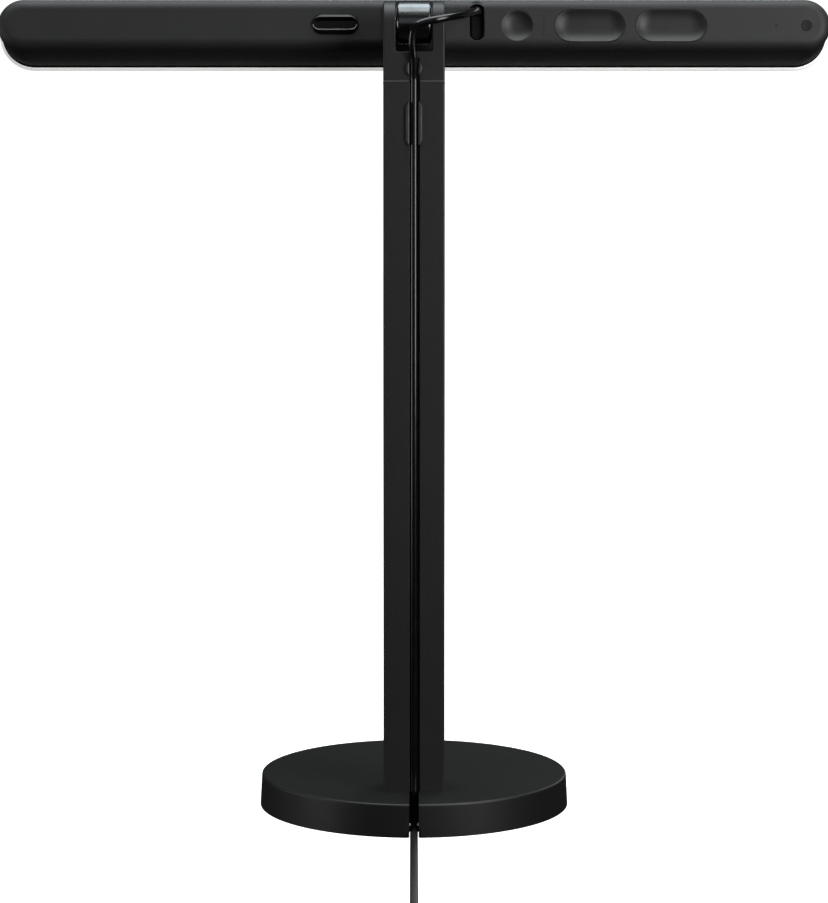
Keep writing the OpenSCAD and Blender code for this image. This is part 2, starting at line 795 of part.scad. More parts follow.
module far_plug_body() {
  color([0.06, 0.06, 0.06]) {
    translate([plug_x, plug_y, plug_z]) rotate([0, -90, 0])
      cylinder(r1 = 2.3, r2 = 3, h = 10);
    translate([plug_x - 10 - 22, plug_y - 6, 0.1]) cube([22.2, 12, 6.4]);
  }
}

module far_plug_shell() {
  color([0.75, 0.76, 0.78]) translate([plug_x - 32 - 11.9, plug_y - 4.6, plug_z - 1.5])
    cube([11.8, 9.2, 3]);
}

base_cover();
base_weight();
base_plate();
base_foot();
base_screws();
post_foot();
post_bolts();
post_sleeve();
sleeve_glide();
inner_post();
lower_glide();
friction_springs();
fork_head();
head_pins();
hinge_axle();
axle_caps();
hinge_washers();
hinge_knuckle();
friction_bush();
bracket_plate();
bracket_screws();
upper_cable_clip();
lower_cable_clip();
rear_shell();
light_ring();
front_bezel();
front_diffuser();
diffusion_film();
reflector_tray();
front_led_board();
front_leds();
rear_led_strips();
heat_spreader();
chassis_screws();
control_board();
tact_switches();
radio_module();
usb_socket();
status_window();
power_button();
brightness_rocker();
temperature_rocker();
mode_button();
pairing_button();
lamp_plug();
lamp_plug_tongue();
cord_lead();
cord_post_run();
cord_floor_run();
cord_coil();
cord_tail();
cable_tie();
far_plug_body();
far_plug_shell();
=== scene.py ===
"""Looks of the light bar on its desk stand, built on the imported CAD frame.

Lengths are in millimetres, and put() turns them into Blender's metres. The light bar has a frame of
its own: x along the bar, u the depth from its back face, w up its back face.
"""

import json
import math

import bmesh
import bpy
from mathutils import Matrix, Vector


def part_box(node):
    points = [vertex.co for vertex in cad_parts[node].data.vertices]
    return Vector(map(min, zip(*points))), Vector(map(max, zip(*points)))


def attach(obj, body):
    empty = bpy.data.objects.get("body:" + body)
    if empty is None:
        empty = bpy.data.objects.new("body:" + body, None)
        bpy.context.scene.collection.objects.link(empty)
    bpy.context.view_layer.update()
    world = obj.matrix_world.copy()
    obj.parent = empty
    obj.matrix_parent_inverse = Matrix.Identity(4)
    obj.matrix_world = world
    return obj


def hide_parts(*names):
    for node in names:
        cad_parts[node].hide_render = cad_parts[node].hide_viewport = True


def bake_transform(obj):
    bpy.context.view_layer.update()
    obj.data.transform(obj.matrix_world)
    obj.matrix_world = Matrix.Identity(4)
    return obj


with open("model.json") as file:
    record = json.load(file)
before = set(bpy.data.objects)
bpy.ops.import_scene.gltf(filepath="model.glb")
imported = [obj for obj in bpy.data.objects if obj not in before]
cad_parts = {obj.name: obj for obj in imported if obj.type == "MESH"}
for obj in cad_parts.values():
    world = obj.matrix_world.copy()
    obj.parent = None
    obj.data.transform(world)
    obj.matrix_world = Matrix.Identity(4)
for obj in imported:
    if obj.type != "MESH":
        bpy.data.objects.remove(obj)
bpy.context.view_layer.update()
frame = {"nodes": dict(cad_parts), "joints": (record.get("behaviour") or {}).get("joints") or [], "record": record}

nodes = frame["nodes"]
joints = {j["name"]: j for j in frame["joints"]}

MM = 0.001

# ---- Sizes ------------------------------------------------------------------

# Base
cover_high = Vector(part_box("base_cover")[1]) / MM
BASE_R = cover_high.x
BASE_TOP = cover_high.z
COVER_LIFT = 0.02
COVER_WALL = 4
COVER_TOP = 2.8
TOP_EDGE = 1.1
SLIT_W = 4.4
SLIT_WALL = 1.6
SLIT_FLARE = 1.1

# Post
sleeve_low, sleeve_high = (Vector(p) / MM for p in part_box("post_sleeve"))
POST_W = sleeve_high.x - sleeve_low.x
POST_T = sleeve_high.y - sleeve_low.y
POST_Y = (sleeve_high.y + sleeve_low.y) / 2
POST_REAR = sleeve_low.y
SLEEVE_TOP = sleeve_high.z
POST_EDGE = 0.8
GROOVE_W = 5.2
GROOVE_DEPTH = 4
GROOVE_LEFT = -2
BORE_W = 24
BORE_REAR = POST_REAR + GROOVE_DEPTH + 1.2
BORE_FRONT = sleeve_high.y - 1.5
SLIT_END = POST_REAR + 5.2

# Fork head and hinge
head_low = Vector(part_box("fork_head")[0]) / MM
AXIS_Z = joints["bar_tilt"]["pos_m"][2] / MM
CUT_W = 17.2
CUT_BOTTOM = SLEEVE_TOP + 13.6
CUT_R = 1.2
GROOVE_TOP = 358.2
BARREL_W = 16
BARREL_D = 20.1
FLANGE, FLANGE_T, FLANGE_UP = (POST_W, 18.4), 1.6, 1.7
CAP_R = 4.5
CAP_T = 1.2

# Light bar
BAR_LEN = 394.8
BAR_H = 25
BAR_H_FRONT = 30.9
DROOP = 0.35
BAR_DEPTH = 25
BACK_GAP = 18
BAR_RISE = 3.1
BACK_EDGE = 5.5
WALL = 1.8
LIP = 1.9
RING_T = 2
BEZEL_T = 1.5
BEZEL_H = 32
WINDOW_H = 27
POCKET_X, POCKET_W, POCKET_WIDE, POCKET_TALL, POCKET_DEPTH = 29.7, 0.9, 6.6, 17.6, 6.2

# Controls: middle along the bar, width, height
CONTROL_W = -0.9
KEY_GAP = 0.03
DISH = 2.1
POWER = (48.8, 15.3, 15.1)
BRIGHTNESS = (83.1, 33.3, 15.2)
TEMPERATURE = (121.6, 33.5, 15.2)
MODE, MODE_W = (-37.3, 22.2, 9.8), -0.3
MODE_SQUEEZE = 0.7
ROCKER_GAP = 0.2
PAIRING = (185.5, 5.2, 5.2)
STATUS_X, STATUS_D = 171.5, 1.6
DIVIDER_X, DIVIDER_H = 61.3, 10.3

# Cable clips
CLIP_W, CLIP_SLOT, CLIP_PROUD, CLIP_ROUND = 8, 3.9, 1.5, 3.4
UPPER_CLIP = (349.6, 356.6)
LOWER_CLIP = (317.2, 338.2)

# Cable
CORD_D = 3.6
CORD_R = CORD_D / 2
CORD_Y = POST_REAR + 1
FLOOR_Z = CORD_R + 0.05
BEND_R = 9
WEB_TOP, WEB_Y = 1.3, -62
SLIT_Z = WEB_TOP + FLOOR_Z
BEND_TOP = SLIT_Z + BEND_R
LEAD_END_Z = 348
LEAD_POINTS = [
    (29.8, -19.3, 381.2), (29.5, -24, 381), (28.3, -29.5, 380.3), (25.7, -36, 379.3),
    (21.6, -43.5, 378.1), (16.4, -49.2, 376.9), (11.6, -52, 375.9), (7.7, -52.9, 375.1),
    (4.4, -52.9, 374.3), (2, -52.7, 373.3), (0.4, -52.4, 371.9), (-0.4, -52.1, 370),
    (-0.8, -51.6, 367.4), (-0.8, -50.9, 364.2), (-0.5, -50.2, 361.4), (-0.1, -49.4, 358.2),
    (0, -48.6, 355), (0, -47.8, 351.7), (0, CORD_Y - 0.2, 349.2), (0, CORD_Y, LEAD_END_Z),
]
FLOOR_RUN = [
    (-58, SLIT_Z), (-62, SLIT_Z), (-66, 2.95), (-70, 2.55), (-74, 2.15), (-78, 1.92),
    (-84, FLOOR_Z), (-100, FLOOR_Z), (-120, FLOOR_Z), (-140, FLOOR_Z), (-160, FLOOR_Z),
    (-180, FLOOR_Z), (-200, FLOOR_Z), (-220, FLOOR_Z), (-250, FLOOR_Z),
]
COIL_OUTER, COIL_INNER, COIL_RISE, COIL_TURNS = 25.3, 12.3, 3.7, 3.625
COIL_X, COIL_Y = -COIL_OUTER, -250
TAIL_POINTS = [
    (-34, -275.3, 5.3), (-43, -275.3, 4.6), (-52, -275.3, 3.8), (-58, -275.3, 3.4),
    (-63, -275.3, 3.3),
]
PLUG_X, PLUG_Y, PLUG_Z = -63, -275.3, 3.3

# The bar's own directions, from the way its keys travel
ALONG = Vector((1, 0, 0))
INTO = Vector(joints["power_press"]["axis"]).normalized()
UP = ALONG.cross(INTO)
BACK = Vector((0, POST_Y, AXIS_Z)) + BACK_GAP * INTO + BAR_RISE * UP


def bar(x, u, w):
    """A point of the light bar, in the row frame; the front hangs a little lower than the back."""
    return BACK + x * ALONG + u * INTO + (w - sag(u)) * UP


def sag(u):
    return DROOP * max(0, u - BACK_EDGE) / (BAR_DEPTH - BACK_EDGE)


# ---- Camera -----------------------------------------------------------------


def camera():
    """A camera behind the stand, almost level, so the post looks upright as in the photo."""
    data = bpy.data.cameras.new("camera")
    data.sensor_fit = "AUTO"
    data.sensor_width = 36
    data.lens = 115.378
    data.shift_x = 0
    data.shift_y = -0.21
    data.clip_start = 0.05
    data.clip_end = 50
    eye = bpy.data.objects.new("camera", data)
    eye.location = (0, -1.3905, 0.3165)
    eye.rotation_euler = (math.radians(87.742), 0, 0)
    bpy.context.scene.collection.objects.link(eye)
    bpy.context.scene.camera = eye


camera()

# ---- Materials --------------------------------------------------------------


class Nodes:
    """A material's node tree with short calls for the nodes used here."""

    def __init__(self, name):
        self.material = bpy.data.materials.new(name)
        self.material.use_nodes = True
        self.tree = self.material.node_tree
        self.shader = self.tree.nodes["Principled BSDF"]
        self.place = self.add("ShaderNodeTexCoord").outputs["Object"]
        self.height = None

    def add(self, kind, **values):
        node = self.tree.nodes.new(kind)
        for key, value in values.items():
            setattr(node, key, value)
        return node

    def link(self, out, into):
        self.tree.links.new(out, into)

    def scaled(self, stretch):
        mapping = self.add("ShaderNodeMapping")
        mapping.inputs["Scale"].default_value = stretch
        self.link(self.place, mapping.inputs["Vector"])
        return mapping.outputs["Vector"]

    def noise(self, size, detail=2, stretch=(1, 1, 1), rough=0.5):
        """Noise whose spots are about size millimetres across."""
        node = self.add("ShaderNodeTexNoise")
        node.inputs["Scale"].default_value = 1 / (size * MM)
        node.inputs["Detail"].default_value = detail
        node.inputs["Roughness"].default_value = rough
        self.link(self.scaled(stretch), node.inputs["Vector"])
        return node.outputs["Fac"]

    def spread(self, value, low, high):
        """Maps the middle of a noise onto low to high."""
        node = self.add("ShaderNodeMapRange")
        node.inputs["From Min"].default_value = 0.3
        node.inputs["From Max"].default_value = 0.7
        node.inputs["To Min"].default_value = low
        node.inputs["To Max"].default_value = high
        self.link(value, node.inputs["Value"])
        return node.outputs["Result"]

    def mix(self, value, one, two):
        node = self.add("ShaderNodeMix", data_type="RGBA")
        self.link(value, node.inputs["Factor"])
        node.inputs["A"].default_value = (*one, 1)
        node.inputs["B"].default_value = (*two, 1)
        return node.outputs["Result"]

    def tint(self, value, colour, change):
        """Base colour that varies by a share of itself."""
        low = [c * (1 - change) for c in colour]
        high = [c * (1 + change) for c in colour]
        self.link(self.mix(self.spread(value, 0, 1), low, high), self.shader.inputs["Base Color"])

    def bump(self, value, depth, strength=1.0):
        """Relief of about depth millimetres, added to what is there."""
        node = self.add("ShaderNodeBump")
        node.inputs["Distance"].default_value = depth * MM
        node.inputs["Strength"].default_value = strength
        self.link(value, node.inputs["Height"])
        if self.height is not None:
            self.link(self.height, node.inputs["Normal"])
        self.height = node.outputs["Normal"]
        self.link(self.height, self.shader.inputs["Normal"])

    def roughness(self, value, low, high):
        self.link(self.spread(value, low, high), self.shader.inputs["Roughness"])

    def set(self, **values):
        for key, value in values.items():
            self.shader.inputs[key.replace("_", " ")].default_value = value
        return self


def moulded(name, colour, rough, grain=0.35, depth=0.012, specular=0.5, coat=0.0):
    """Moulded plastic with a fine spark-eroded texture."""
    n = Nodes(name)
    fine, broad = n.noise(grain, 3), n.noise(14, 3)
    n.tint(broad, colour, 0.10)
    n.roughness(fine, rough - 0.05, rough + 0.05)
    n.bump(fine, depth)
    n.set(Specular_IOR_Level=specular, Coat_Weight=coat, Coat_Roughness=0.25)
    return n.material


def powder_coat(name, colour, rough, metallic=0.0, depth=0.014):
    """Satin paint on metal, with a faint orange peel."""
    n = Nodes(name)
    fine, peel, broad = n.noise(0.22, 2), n.noise(1.3, 2), n.noise(25, 2)
    n.tint(broad, colour, 0.08)
    n.roughness(fine, rough - 0.05, rough + 0.06)
    n.bump(peel, depth)
    n.bump(fine, depth * 0.5)
    n.set(Metallic=metallic, Specular_IOR_Level=0.5)
    return n.material


def metal(name, colour, rough, stretch=(1, 1, 1), grain=0.5, depth=0.004, change=0.12):
    """Bare metal; a stretch other than 1 draws the noise out into lines."""
    n = Nodes(name)
    lines, broad = n.noise(grain, 3, stretch), n.noise(9, 2)
    n.tint(broad, colour, change)
    n.roughness(lines, rough - 0.06, rough + 0.08)
    n.bump(lines, depth)
    n.set(Metallic=1.0)
    return n.material


def cast(name, colour, rough):
    """Cast metal: lumpy, pitted and slightly stained."""
    n = Nodes(name)
    lumps, pits, broad = n.noise(2.4, 4, rough=0.6), n.noise(0.5, 2), n.noise(18, 3)
    n.tint(broad, colour, 0.25)
    n.roughness(pits, rough - 0.08, rough + 0.1)
    n.bump(lumps, 0.12)
    n.bump(pits, 0.04)
    n.set(Metallic=1.0)
    return n.material


def jacket(name, colour):
    """Smooth cable jacket with a soft shine and a little dust."""
    n = Nodes(name)
    fine, broad = n.noise(0.3, 2), n.noise(6, 3)
    n.tint(broad, colour, 0.2)
    n.roughness(broad, 0.16, 0.2)
    n.bump(fine, 0.002)
    n.set(Specular_IOR_Level=0.5)
    return n.material


def floor_jacket(name, near, far, start, end):
    """The jacket from the slit to the coil, with painted shade and sheen: black in the slit, where it lies in
    shade, then lighter grey towards the coil as a painted sheen.
    """
    n = Nodes(name)
    parts = n.add("ShaderNodeSeparateXYZ")
    n.link(n.place, parts.inputs["Vector"])
    # Painted shade and sheen: the colour runs from black in the slit to lighter grey towards the coil.
    slit_shade_to_sheen = n.add("ShaderNodeMapRange")
    slit_shade_to_sheen.inputs["From Min"].default_value = start * MM
    slit_shade_to_sheen.inputs["From Max"].default_value = end * MM
    n.link(parts.outputs["Y"], slit_shade_to_sheen.inputs["Value"])
    n.link(n.mix(slit_shade_to_sheen.outputs["Result"], near, far), n.shader.inputs["Base Color"])
    # Painted shade: the jacket's shine is turned off inside the slit, where the slit shades it.
    shine = n.add("ShaderNodeMapRange")
    shine.inputs["From Min"].default_value = -0.071
    shine.inputs["From Max"].default_value = -0.078
    shine.inputs["To Max"].default_value = 0.4
    n.link(parts.outputs["Y"], shine.inputs["Value"])
    n.link(shine.outputs["Result"], n.shader.inputs["Specular IOR Level"])
    n.roughness(n.noise(6, 3), 0.4, 0.5)
    return n.material


def milky(name, colour, rough, transmission, glow=0.0):
    """Translucent plastic, lit from within where glow is above 0."""
    n = Nodes(name)
    fine, broad = n.noise(0.3, 2), n.noise(20, 2)
    n.tint(broad, colour, 0.02)
    n.roughness(fine, rough - 0.05, rough + 0.05)
    n.bump(fine, 0.006)
    n.set(Transmission_Weight=transmission, IOR=1.49, Subsurface_Weight=0.35,
          Emission_Strength=glow, Emission_Color=(1, 0.99, 0.97, 1))
    n.shader.inputs["Subsurface Radius"].default_value = (0.004, 0.004, 0.004)
    n.shader.inputs["Subsurface Scale"].default_value = 1.0
    return n.material


def diffuser(name):
    """Frosted sheet with a fine pattern of round cells that spreads the light."""
    n = Nodes(name)
    cells = n.add("ShaderNodeTexVoronoi", feature="SMOOTH_F1")
    cells.inputs["Scale"].default_value = 1 / (0.8 * MM)
    cells.inputs["Randomness"].default_value = 0.15
    n.link(n.place, cells.inputs["Vector"])
    broad = n.noise(30, 2)
    n.tint(broad, (0.86, 0.86, 0.84), 0.015)
    n.roughness(broad, 0.42, 0.5)
    n.bump(cells.outputs["Distance"], 0.05)
    n.set(Subsurface_Weight=0.3, Specular_IOR_Level=0.4)
    n.shader.inputs["Subsurface Radius"].default_value = (0.002, 0.002, 0.002)
    return n.material


def circuit(name, mask, copper):
    """Solder mask with buried tracks and bright pads."""
    n = Nodes(name)
    tracks = n.add("ShaderNodeTexBrick")
    tracks.inputs["Scale"].default_value = 1 / (9 * MM)
    tracks.inputs["Mortar Size"].default_value = 0.02
    tracks.inputs["Color1"].default_value = (*mask, 1)
    tracks.inputs["Color2"].default_value = (*[c * 1.15 for c in mask], 1)
    tracks.inputs["Mortar"].default_value = (*copper, 1)
    n.link(n.scaled((1, 1, 1)), tracks.inputs["Vector"])
    n.link(tracks.outputs["Color"], n.shader.inputs["Base Color"])
    n.roughness(n.noise(3, 2), 0.28, 0.4)
    n.bump(tracks.outputs["Fac"], 0.03)
    return n.material


def woven(name, colour):
    """Hook-and-loop strap: a ribbed weave with fuzz."""
    n = Nodes(name)
    ribs = n.add("ShaderNodeTexWave", wave_type="BANDS", bands_direction="Y")
    ribs.inputs["Scale"].default_value = 1 / (2.2 * MM)
    ribs.inputs["Distortion"].default_value = 1.2
    n.link(n.place, ribs.inputs["Vector"])
    fuzz = n.noise(0.25, 3)
    n.tint(fuzz, colour, 0.45)
    n.roughness(fuzz, 0.8, 0.95)
    n.bump(ribs.outputs["Fac"], 0.12)
    n.bump(fuzz, 0.1)
    n.set(Sheen_Weight=0.4, Sheen_Roughness=0.5)
    return n.material


ALONG_X, ALONG_Z = (0.03, 1, 1), (1, 1, 0.02)

FINISH = {
    "base_paint": powder_coat("base_paint", (0.0075, 0.0078, 0.0075), 0.46),
    "cast_weight": cast("cast_weight", (0.12, 0.12, 0.125), 0.6),
    "plate_steel": powder_coat("plate_steel", (0.03, 0.03, 0.032), 0.42, metallic=0.3),
    "foot_rubber": moulded("foot_rubber", (0.018, 0.018, 0.018), 0.82, 0.5, 0.03, 0.3),
    "screw_steel": metal("screw_steel", (0.55, 0.55, 0.56), 0.3),
    "post_core": cast("post_core", (0.4, 0.41, 0.42), 0.42),
    "post_paint": powder_coat("post_paint", (0.011, 0.0115, 0.011), 0.5),
    "glide_plastic": moulded("glide_plastic", (0.6, 0.6, 0.56), 0.42, 0.5),
    "inner_tube": metal("inner_tube", (0.09, 0.092, 0.096), 0.36, ALONG_Z, 0.25),
    "spring_steel": metal("spring_steel", (0.5, 0.46, 0.38), 0.28, ALONG_Z, 0.3),
    "axle_steel": metal("axle_steel", (0.6, 0.6, 0.61), 0.22, ALONG_X, 0.3),
    "clip_plastic": moulded("clip_plastic", (0.026, 0.0265, 0.026), 0.42),
    # Painted shadow: near-black for the bead round the shell's rim, where the gap to the halo ring lies in shade.
    "painted_gap_shadow": moulded("painted_gap_shadow", (0.002, 0.002, 0.002), 0.9, specular=0.1),
    # Painted highlight: light grey for the slit pips and the mode key's lower rim, which catch the light.
    "painted_highlight_grey": moulded("painted_highlight_grey", (0.27, 0.27, 0.27), 0.5),
    # Painted highlight: pale grey for the light line along the sleeve's top edge.
    "painted_edge_highlight": moulded("painted_edge_highlight", (0.09, 0.091, 0.09), 0.45),
    "washer_plastic": moulded("washer_plastic", (0.02, 0.02, 0.02), 0.45),
    "hinge_metal": metal("hinge_metal", (0.12, 0.127, 0.131), 0.23, ALONG_X, 0.3),
    "bush_brass": metal("bush_brass", (0.72, 0.52, 0.22), 0.3),
    "shell_plastic": moulded("shell_plastic", (0.0135, 0.014, 0.0135), 0.6, 0.3, 0.006),
    "ring_plastic": milky("ring_plastic", (0.82, 0.83, 0.83), 0.4, 0, 0.42),
    "bezel_plastic": moulded("bezel_plastic", (0.014, 0.014, 0.014), 0.42),
    "diffuser_plastic": diffuser("diffuser_plastic"),
    "film_plastic": milky("film_plastic", (0.9, 0.9, 0.9), 0.5, 0.5),
    "white_plastic": moulded("white_plastic", (0.82, 0.82, 0.81), 0.35),
    "led_board": circuit("led_board", (0.7, 0.72, 0.71), (0.75, 0.6, 0.35)),
    "led_lens": moulded("led_lens", (0.85, 0.66, 0.16), 0.3, coat=0.5),
    "heat_aluminium": metal("heat_aluminium", (0.68, 0.69, 0.7), 0.34, ALONG_X, 0.3),
    "circuit_board": circuit("circuit_board", (0.012, 0.09, 0.035), (0.03, 0.15, 0.06)),
    "switch_plastic": moulded("switch_plastic", (0.02, 0.02, 0.02), 0.35),
    "shield_steel": metal("shield_steel", (0.62, 0.63, 0.64), 0.2),
    "window_plastic": moulded("window_plastic", (0.02, 0.022, 0.025), 0.15, coat=0.6),
    "key_plastic": moulded("key_plastic", (0.0135, 0.014, 0.0135), 0.46, 0.3, 0.007),
    "mode_plastic": moulded("mode_plastic", (0.005, 0.005, 0.0055), 0.3, 0.4, 0.004, 0.4),
    "pair_plastic": moulded("pair_plastic", (0.006, 0.006, 0.0065), 0.5, specular=0.25),
    "plug_plastic": moulded("plug_plastic", (0.003, 0.003, 0.003), 0.5, specular=0.2),
    "cord_jacket": jacket("cord_jacket", (0.004, 0.004, 0.004)),
    # Painted shade and sheen along the floor cable: black in the slit, lighter grey towards the coil.
    "cord_floor": floor_jacket("cord_floor", (0.004, 0.004, 0.004), (0.045, 0.045, 0.045),
                               -75, -190),
    "tie_fabric": woven("tie_fabric", (0.02, 0.02, 0.02)),
}

# ---- Mesh helpers -----------------------------------------------------------


def put(name, verts, faces, slot, smooth=35):
    """A mesh object from points in millimetres, shaded smooth up to the given angle."""
    mesh = bpy.data.meshes.new(name)
    mesh.from_pydata([Vector(v) * MM for v in verts], [], faces)
    made = bmesh.new()
    made.from_mesh(mesh)
    bmesh.ops.recalc_face_normals(made, faces=made.faces)
    made.to_mesh(mesh)
    made.free()
    piece = bpy.data.objects.new(name, mesh)
    bpy.context.scene.collection.objects.link(piece)
    if slot:
        mesh.materials.append(FINISH[slot])
    shade(piece, smooth)
    return piece


def shade(piece, angle):
    mesh = piece.data
    mesh.polygons.foreach_set("use_smooth", [True] * len(mesh.polygons))
    mesh.set_sharp_from_angle(angle=math.radians(angle))


def loft(name, rings, slot, closed=False, smooth=35):
    """A skin through rings with the same number of points; closed joins the last to the first."""
    count, turns = len(rings[0]), len(rings)
    verts = [p for r in rings for p in r]
    faces = []
    for i in range(turns if closed else turns - 1):
        low, high = i * count, (i + 1) % turns * count
        for k in range(count):
            n = (k + 1) % count
            faces.append((low + k, low + n, high + n, high + k))
    if not closed:
        faces.append(tuple(range(count)))
        faces.append(tuple(range(len(verts) - count, len(verts))))
    return put(name, verts, faces, slot, smooth)


def repaint(piece, finish):
    """Another finish than the one of the piece's slot."""
    piece.data.materials[0] = FINISH[finish]


def settle(piece):
    """Applies the piece's modifiers."""
    graph = bpy.context.evaluated_depsgraph_get()
    mesh = bpy.data.meshes.new_from_object(piece.evaluated_get(graph))
    piece.modifiers.clear()
    piece.data = mesh
    return piece


def combine(piece, others, operation):
    for other in others:
        step = piece.modifiers.new("solid", "BOOLEAN")
        step.operation = operation
        step.solver = "EXACT"
        step.object = other
    settle(piece)
    for other in others:
        bpy.data.objects.remove(other)
    return piece


def cut(piece, *others):
    return combine(piece, others, "DIFFERENCE")


def join(piece, *others):
    return combine(piece, others, "UNION")


def soften(piece, width, angle=50, segments=3):
    """Rounds the edges that are sharper than the angle."""
    step = piece.modifiers.new("edges", "BEVEL")
    step.width = width * MM
    step.segments = segments
    step.limit_method = "ANGLE"
    step.angle_limit = math.radians(angle)
    step.use_clamp_overlap = True
    step.harden_normals = False
    return settle(piece)


def bevel(piece, width, where, angle=50):
    """Rounds the sharp edges whose ends, in millimetres, both pass the test."""
    made = bmesh.new()
    made.from_mesh(piece.data)
    limit = math.radians(angle)
    edges = [e for e in made.edges if len(e.link_faces) == 2 and e.calc_face_angle() > limit
             and all(where(v.co / MM) for v in e.verts)]
    bmesh.ops.bevel(made, geom=edges, offset=width * MM, segments=3, profile=0.5, affect="EDGES")
    made.to_mesh(piece.data)
    made.free()
    return piece


def weigh(piece, angle=35):
    """Shading normals that keep flat faces flat."""
    shade(piece, angle)
    step = piece.modifiers.new("normals", "WEIGHTED_NORMAL")
    step.keep_sharp = True
    step.weight = 80
    return settle(piece)


def merge(name, *pieces):
    """Several meshes as one object."""
    first = pieces[0]
    made = bmesh.new()
    for piece in pieces:
        made.from_mesh(piece.data)
    mesh = first.data.copy()
    made.to_mesh(mesh)
    made.free()
    for piece in pieces[1:]:
        bpy.data.objects.remove(piece)
    first.data = mesh
    first.name = name
    return first


def arc(radius, start, end, steps):
    """Points of an arc round the origin, angles in degrees."""
    angles = [math.radians(start + (end - start) * i / steps) for i in range(steps + 1)]
    return [(radius * math.cos(a), radius * math.sin(a)) for a in angles]


def pill(length, height, steps=32, straight=8):
    """Outline of a pill along the first axis, anticlockwise."""
    radius, half = height / 2, max(0, (length - height) / 2)
    right = [(half + x, y) for x, y in arc(radius, -90, 90, steps)]
    left = [(-half + x, y) for x, y in arc(radius, 90, 270, steps)]
    top = [(half - 2 * half * i / straight, radius) for i in range(1, straight)]
    bottom = [(-x, -y) for x, y in top]
    return right + top + left + bottom


def rounded(width, height, radius, steps=6):
    """Outline of a rectangle with round corners, anticlockwise."""
    out = []
    for i, (sx, sy) in enumerate([(1, -1), (1, 1), (-1, 1), (-1, -1)]):
        cx, cy = sx * (width / 2 - radius), sy * (height / 2 - radius)
        out += [(cx + x, cy + y) for x, y in arc(radius, 90 * i - 90, 90 * i, steps)]
    return out


def bar_rings(x, w, sections, outline=pill):
    """Rings of outlines on the bar; each section is (u, length, height)."""
    return [[bar(x + p, u, w + q) for p, q in outline(long, tall)] for u, long, tall in sections]


def inset(length, height, profile):
    """Sections of one outline that shrinks: profile is a list of (u, inset)."""
    return [(u, length - 2 * i, height - 2 * i) for u, i in profile]


def fillet(radius, steps=5):
    """(depth, inset) pairs of a rounded edge, from the flat face to the side."""
    return [(radius - x, radius - y) for x, y in arc(radius, 0, 90, steps)]


def pin(name, start, end, radius, slot, edge=0.2, steps=48):
    """A round bar between two points, with rounded ends."""
    a, b = Vector(start), Vector(end)
    along = (b - a).normalized()
    side = along.orthogonal().normalized()
    other = along.cross(side)
    ends = fillet(edge, 3)
    stations = ends + [((b - a).length - d, i) for d, i in reversed(ends)]
    rings = [[a + d * along + x * side + y * other for x, y in arc(radius - i, 0, 360, steps)[:-1]]
             for d, i in stations]
    return loft(name, rings, slot)


def axle_pin(name, x0, x1, radius, slot, edge=0.01, steps=48):
    """A round bar on the hinge's axis."""
    return pin(name, (x0, POST_Y, AXIS_Z), (x1, POST_Y, AXIS_Z), radius, slot, edge, steps)


def smooth_curve(points, steps):
    """A Catmull-Rom curve through the points."""
    p = [Vector(v) for v in points]
    out = []
    for i in range(len(p) - 1):
        a, b, c, d = p[max(i - 1, 0)], p[i], p[i + 1], p[min(i + 2, len(p) - 1)]
        for k in range(steps):
            f = k / steps
            out.append(0.5 * (2 * b + (c - a) * f + (2 * a - 5 * b + 4 * c - d) * f * f
                              + (3 * b - a - 3 * c + d) * f ** 3))
    return out + [p[-1]]


def tube(name, points, radius, slot, sides=20):
    """A round tube along the points, its rings carried along without twist."""
    last = len(points) - 1
    tangents = [(points[min(i + 1, last)] - points[max(i - 1, 0)]).normalized()
                for i in range(last + 1)]
    side = tangents[0].orthogonal().normalized()
    rings = []
    for point, tangent in zip(points, tangents):
        side = (side - side.dot(tangent) * tangent).normalized()
        other = tangent.cross(side)
        rings.append([point + x * side + y * other for x, y in arc(radius, 0, 360, sides)[:-1]])
    return loft(name, rings, slot, smooth=60)


# ---- Cable ------------------------------------------------------------------


def coil_points():
    """The wound length: inwards on the table, then outwards on top of that."""
    per_turn, climb = 20, 0.35
    steps = int(2 * COIL_TURNS * per_turn)
    pitch = (COIL_OUTER - COIL_INNER) / COIL_TURNS
    out = []
    for i in range(1, steps + 1):
        turn = i / per_turn
        past = turn - COIL_TURNS
        radius = COIL_INNER + pitch * abs(past)
        rise = min(1, max(0, (past + climb) / (2 * climb)))
        angle = -2 * math.pi * turn
        out.append(Vector((COIL_X + radius * math.cos(angle), COIL_Y + radius * math.sin(angle),
                           FLOOR_Z + COIL_RISE * rise)))
    return out


def cords():
    lead = smooth_curve(LEAD_POINTS, 5)
    steps = 40
    run = [Vector((0, CORD_Y, LEAD_END_Z + (BEND_TOP - LEAD_END_Z) * i / steps))
           for i in range(steps + 1)]
    bend = [Vector((0, CORD_Y - BEND_R + y, BEND_TOP - z))
            for y, z in arc(BEND_R, 0, 90, 8)]
    floor = smooth_curve([bend[-1], *[(0, y, z) for y, z in FLOOR_RUN]], 3)[1:]
    tail = smooth_curve([coil_points()[-1], *TAIL_POINTS], 3)[1:]
    rest = bend + floor + coil_points() + tail

    piece = tube("cable_lead", lead, CORD_R, "cord_jacket")
    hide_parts("cord_lead")
    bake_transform(piece)

    piece = tube("cable_post_run", run, CORD_R, "cord_jacket")
    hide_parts("cord_post_run")
    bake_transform(piece)

    piece = tube("cable_floor", rest, CORD_R, "cord_jacket")
    repaint(piece, "cord_floor")
    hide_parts("cord_floor_run", "cord_coil", "cord_tail")
    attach(piece, "stand_base")


# ---- Base -------------------------------------------------------------------


def revolve(name, outline, slot, steps=256):
    """Turns (radius, height) points round the upright axis; all radii are above 0."""
    rings = []
    for i in range(steps):
        a = 2 * math.pi * i / steps
        rings.append([Vector((r * math.cos(a), r * math.sin(a), z)) for r, z in outline])
    return loft(name, rings, slot, closed=True)


